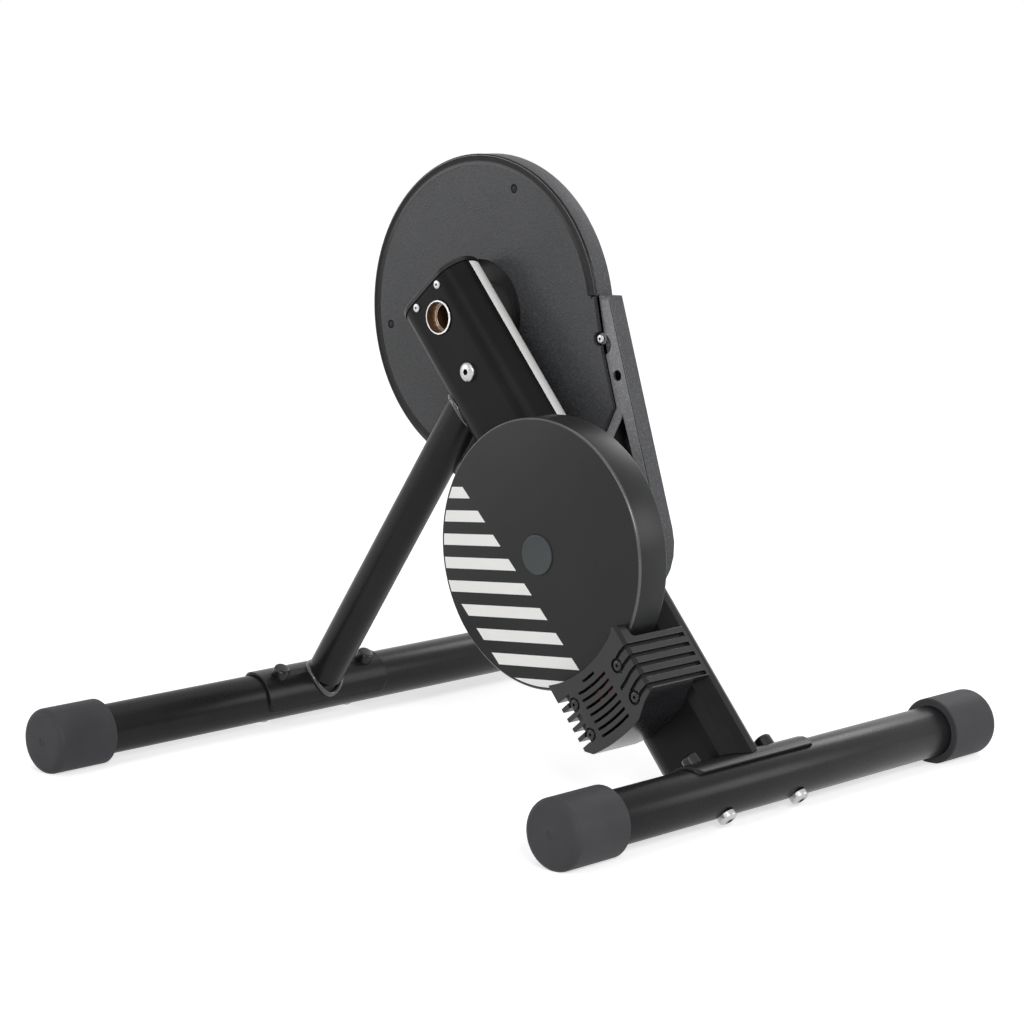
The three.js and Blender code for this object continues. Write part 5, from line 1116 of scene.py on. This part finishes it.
@dataclass
class FlywheelSet:
    """Flywheel with its painted stripes, centre cap and shaft."""

    radius: float = 99.9
    near: float = -88.0
    far: float = -58.5
    hollow: tuple[Pair, ...] = ((6.3, -80.8), (12.3, -80.8), (12.3, -85.8), (15.05, -85.8), (15.05, -88.0))
    dish: tuple[Pair, ...] = (
        (82.0, -58.5), (82.0, -64.5), (26.0, -64.5), (26.0, -58.5), (9.0, -58.5), (9.0, -53.2), (6.3, -53.2),
    )
    rim_steps: int = 180
    rounding: float = 1.8
    rounding_segments: int = 5
    edge_facing: Pair = (0.1, 0.98)
    cap: tuple[Pair, ...] = (
        (0.0, -86.1), (14.75, -86.1), (14.75, -89.2), (12.55, -89.2), (12.05, -88.85), (0.0, -88.85),
    )
    cap_rounding: float = 0.3
    stripe_count: int = 9
    stripe_tilt: float = 5.0
    stripe_width: float = 8.5
    stripe_pitch: float = 17.6
    stripe_limit: float = 97.3
    stripe_steps: int = 360
    slant: RGB = (0.716, 0.0, 0.698)
    right_end: RGB = (-77.1, 0.0, 42.4)
    left_end: RGB = (-79.6, 0.0, -45.7)
    first_left_cut: int = 5
    ink: float = 0.1
    ink_lift: float = 0.06
    bearing_rounding: float = 0.4

    def build(self) -> None:
        """Makes the flywheel, its shaft and what the shaft turns in."""
        self.wheel()
        self.centre_cap()
        self.stripes()
        dress("flywheel_shaft", ZINC, body=Body.FLYWHEEL)
        dress("bearing_sleeve", BLACK_PAINT)
        for node in ("shaft_bearing_near", "shaft_bearing_far"):
            dress(node, ZINC, self.bearing_rounding)

    def wheel(self) -> None:
        """Makes the flywheel with rounded edges, a dished back and a painted highlight on its front edge."""
        profile = [*self.hollow, (self.radius, self.near), (self.radius, self.far), *self.dish]
        mesh = turned(profile, self.rim_steps, True)
        limit = self.radius - self.rounding
        rim = [e for e in steep_edges(mesh) if min(math.hypot(v.co.x, v.co.z) for v in e.verts) > limit]
        round_edges(mesh, rim, self.rounding, self.rounding_segments)
        disc = set_up("flywheel_disc", placed(mesh, FLYWHEEL_AXIS), FLYWHEEL_PAINT, "flywheel",
                      Body.FLYWHEEL)
        # The front edge rounding gets a lighter tone as a painted highlight, and higher gloss.
        repaint(disc, EDGE_HIGHLIGHT, self.on_front_edge)

    def on_front_edge(self, middle: Vector, normal: Vector) -> bool:
        """Says whether a face belongs to the rounding between the front face and the rim, which gets the
        painted highlight.
        """
        return middle.y < self.near + self.rounding and self.edge_facing[0] < -normal.y < self.edge_facing[1]

    def centre_cap(self) -> None:
        """Makes the grey cap in the middle."""
        mesh = turned(self.cap, TUBE_STEPS)
        round_edges(mesh, steep_edges(mesh), self.cap_rounding)
        set_up("flywheel_cap_disc", placed(mesh, FLYWHEEL_AXIS), GREY_PLASTIC,
               "flywheel_centre_cap", Body.FLYWHEEL)

    def stripes(self) -> None:
        """Cuts pale stripes out of a thin disc and lays them on the face."""
        tilt = math.radians(self.stripe_tilt)
        rise = Vector((-math.sin(tilt), 0.0, math.cos(tilt)))
        slant, right_end, left_end = Vector(self.slant), Vector(self.right_end), Vector(self.left_end)
        whole = bmesh.new()
        for number in range(self.stripe_count):
            mesh = bmesh.new()
            turn = Matrix.Rotation(math.pi / 2, 4, "X")
            bmesh.ops.create_circle(mesh, cap_ends=True, segments=self.stripe_steps,
                                    radius=self.stripe_limit, matrix=turn)
            top = right_end.dot(rise) - number * self.stripe_pitch
            cuts = [(rise * top, rise), (rise * (top - self.stripe_width), -rise), (right_end, slant)]
            if number >= self.first_left_cut:
                cuts.append((left_end, -slant))
            for place, normal in cuts:
                bmesh.ops.bisect_plane(mesh, geom=everything(mesh), plane_co=place, plane_no=normal,
                                       clear_outer=True)
            made = bmesh.ops.extrude_face_region(mesh, geom=mesh.faces[:])
            push(mesh, made, DEPTH * self.ink)
            held = as_data("stripe", mesh)
            whole.from_mesh(held)
            bpy.data.meshes.remove(held)
        bmesh.ops.recalc_face_normals(whole, faces=whole.faces)
        placed(whole, FLYWHEEL_AXIS + DEPTH * (self.near - self.ink_lift))
        set_up("flywheel_stripes", whole, STRIPE_INK, body=Body.FLYWHEEL)


@dataclass
class Brake:
    """Ribbed brake housing with screws, stator, coils, board and inlet."""

    rounding: float = 0.35
    rib_face: float = 42.0
    front_y: float = -100.0
    groove: Pair = (0.4, 2.6)
    lip: tuple[Pair, ...] = ((101.8, -84.0), (105.5, -84.0), (105.5, -60.0), (101.8, -60.0))
    lip_start: float = -23.3
    lip_end: float = -15.0
    lip_steps: int = 8
    lip_rounding: float = 0.5
    screw: ScrewHead = ScrewHead(3.7, 2.2, 3.4)
    screw_places: tuple[Pair, ...] = ((321.3, -29.1), (346.4, -29.4), (321.5, 24.9), (347.7, 24.7))
    screw_seat: float = -97.9
    coil_rounding: float = 1.0
    coil_segments: int = 3
    board_rounding: float = 0.1

    def build(self) -> None:
        """Makes the housing and what is in it."""
        housing = dress("brake_housing", BRAKE_PAINT, self.rounding)
        # Paints groove floors and walls near-black: painted shade in the grooves.
        repaint(housing, NEAR_BLACK_AND_SHADE, self.in_groove)
        for number, (along, across) in enumerate(self.screw_places, 1):
            seat = beam_place(along, across, self.screw_seat)
            self.screw.fit(f"brake_screw_{number}", seat, finish=BRAKE_PAINT, slot=Slot.DARK)
        # Adds a dark lip where there is only shade, to close a see-through gap.
        self.shade_blocking_lip()
        dress("stator_core", LAMINATION)
        for number in (1, 2, 3):
            dress(f"brake_coil_{number}", WINDING, self.coil_rounding, self.coil_segments)
        dress("control_board", BOARD_LACQUER, self.board_rounding)
        dress("power_inlet", GLOSS_PLASTIC)

    def in_groove(self, middle: Vector, _: Vector) -> bool:
        """Says whether a face is the floor or a wall of a groove in the ribs or in the front face, which
        takes painted shade.
        """
        sunk = (self.rib_face - (middle - AXLE).dot(ACROSS), middle.y - self.front_y)
        return any(self.groove[0] < depth < self.groove[1] for depth in sunk)

    def shade_blocking_lip(self) -> None:
        """Makes a dark lip across the wheel's slot at the housing's left end, put there so the gap shows
        shade instead of the background.
        """
        start = math.radians(self.lip_start)
        run = ALONG * math.cos(start) + ACROSS * math.sin(start)
        section = [FLYWHEEL_AXIS + run * radius + DEPTH * y for radius, y in self.lip]
        axis, angle = ALONG.cross(ACROSS), self.lip_end - self.lip_start
        mesh = swept(section, FLYWHEEL_AXIS, axis, angle, self.lip_steps)
        round_edges(mesh, steep_edges(mesh), self.lip_rounding)
        set_up("brake_slot_lip", mesh, BRAKE_PAINT)


@dataclass(frozen=True)
class Lamp:
    """Soft square lamp over the object, with its lengths in metres and its power in watts."""

    name: str
    place: RGB
    aim_height: float
    size: float
    power: float

    def build(self) -> None:
        """Makes the lamp."""
        light = bpy.data.lights.new(self.name, "AREA")
        light.size = self.size
        light.energy = self.power
        lamp = in_scene(self.name, light)
        lamp.location = self.place
        aim = Vector((0.0, 0.0, self.aim_height)) - lamp.location
        lamp.rotation_euler = aim.to_track_quat("-Z", "Y").to_euler()


@dataclass
class Studio:
    """Pale floor, soft lamps and the camera of the photograph."""

    lamps: tuple[Lamp, ...] = (
        Lamp("front_lamp", (0.4, -2.6, 1.7), 0.2, 1.1, 11.0),
        Lamp("top_lamp", (0.0, 0.0, 2.4), 0.2, 1.6, 6.0),
        Lamp("left_lamp", (-2.1, -2.0, 0.7), 0.25, 0.8, 9.0),
        Lamp("side_lamp", (2.0, -1.3, 1.3), 0.25, 0.8, 27.0),
        Lamp("right_lamp", (1.9, 1.6, 0.9), 0.2, 0.9, 11.0),
        Lamp("back_lamp", (-0.3, 2.2, 1.6), 0.2, 0.8, 9.0),
    )
    place: RGB = (1478.7, -1533.2, 512.3)
    azimuth: float = 44.607
    elevation: float = 8.589
    roll: float = -0.3
    lens: float = 98.848
    sensor: float = 36.0
    clip_end: float = 100.0
    ambient: float = 0.3
    glow: Pair = (0.6, 0.85)
    glow_reach: Pair = (0.6, 2.2)
    floor_radius: float = 9.0
    floor_tone: RGB = (0.82, 0.82, 0.82)
    floor_roughness: float = 0.9
    floor_specular: float = 0.1

    def build(self) -> None:
        """Makes the floor, the world, the lamps and the camera."""
        self.floor()
        self.world()
        for lamp in self.lamps:
            lamp.build()
        self.camera()
        bpy.context.scene.view_settings.view_transform = "Standard"

    def floor(self) -> None:
        """Makes a wide pale floor that keeps the object's shadow."""
        mesh = bmesh.new()
        bmesh.ops.create_circle(mesh, cap_ends=True, segments=TUBE_STEPS, radius=self.floor_radius)
        ground = in_scene("floor", as_data("floor", mesh))
        ground.data.materials.append(bpy.data.materials.new("pale_floor"))
        graph = Graph(ground.data.materials[0])
        distance = graph.node("VectorMath", "Value", {0: graph.places()}, "LENGTH")
        glow = graph.spread(distance, *self.glow, self.glow_reach)
        graph.feed(graph.shader, {
            "Base Color": (*self.floor_tone, 1.0),
            "Roughness": self.floor_roughness,
            "Specular IOR Level": self.floor_specular,
            "Emission Color": WHITE,
            "Emission Strength": graph.node("Math", "Value", {0: graph.seen(), 1: glow}, "MULTIPLY"),
        })

    def world(self) -> None:
        """Makes an even pale world that is white where it is seen."""
        world = bpy.data.worlds.new("pale_world")
        bpy.context.scene.world = world
        graph = Graph(world, "Background")
        feeds = {"Value": graph.seen(), "To Min": self.ambient, "To Max": 1.0}
        graph.feed(graph.shader, {"Color": WHITE, "Strength": graph.node("MapRange", "Result", feeds)})

    def camera(self) -> None:
        """Makes the camera at the photograph's viewing angle."""
        data = bpy.data.cameras.new("camera")
        data.sensor_width = self.sensor
        data.lens = self.lens
        data.clip_end = self.clip_end
        camera = in_scene("camera", data)
        turn = (Matrix.Rotation(math.radians(self.azimuth), 4, "Z")
                @ Matrix.Rotation(math.radians(90 - self.elevation), 4, "X")
                @ Matrix.Rotation(math.radians(self.roll), 4, "Z"))
        camera.matrix_world = Matrix.Translation(Vector(self.place) * MM) @ turn
        bpy.context.scene.camera = camera


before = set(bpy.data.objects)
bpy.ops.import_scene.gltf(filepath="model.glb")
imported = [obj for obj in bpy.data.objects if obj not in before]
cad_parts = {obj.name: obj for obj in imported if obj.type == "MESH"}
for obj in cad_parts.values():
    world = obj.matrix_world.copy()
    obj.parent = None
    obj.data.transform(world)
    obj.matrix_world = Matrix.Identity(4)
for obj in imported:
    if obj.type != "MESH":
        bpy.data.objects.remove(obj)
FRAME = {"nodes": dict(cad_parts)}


def main() -> None:
    """Builds the sub-assemblies in order."""
    logging.basicConfig(level=logging.INFO, format="%(message)s")
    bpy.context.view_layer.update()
    for part in (Studio(), Stand(), Beam(), Casing(), BeltDrive(), Hub(), FlywheelSet(), Brake()):
        log.info("Building %s", type(part).__name__)
        part.build()


if __name__ == "__main__":
    main()
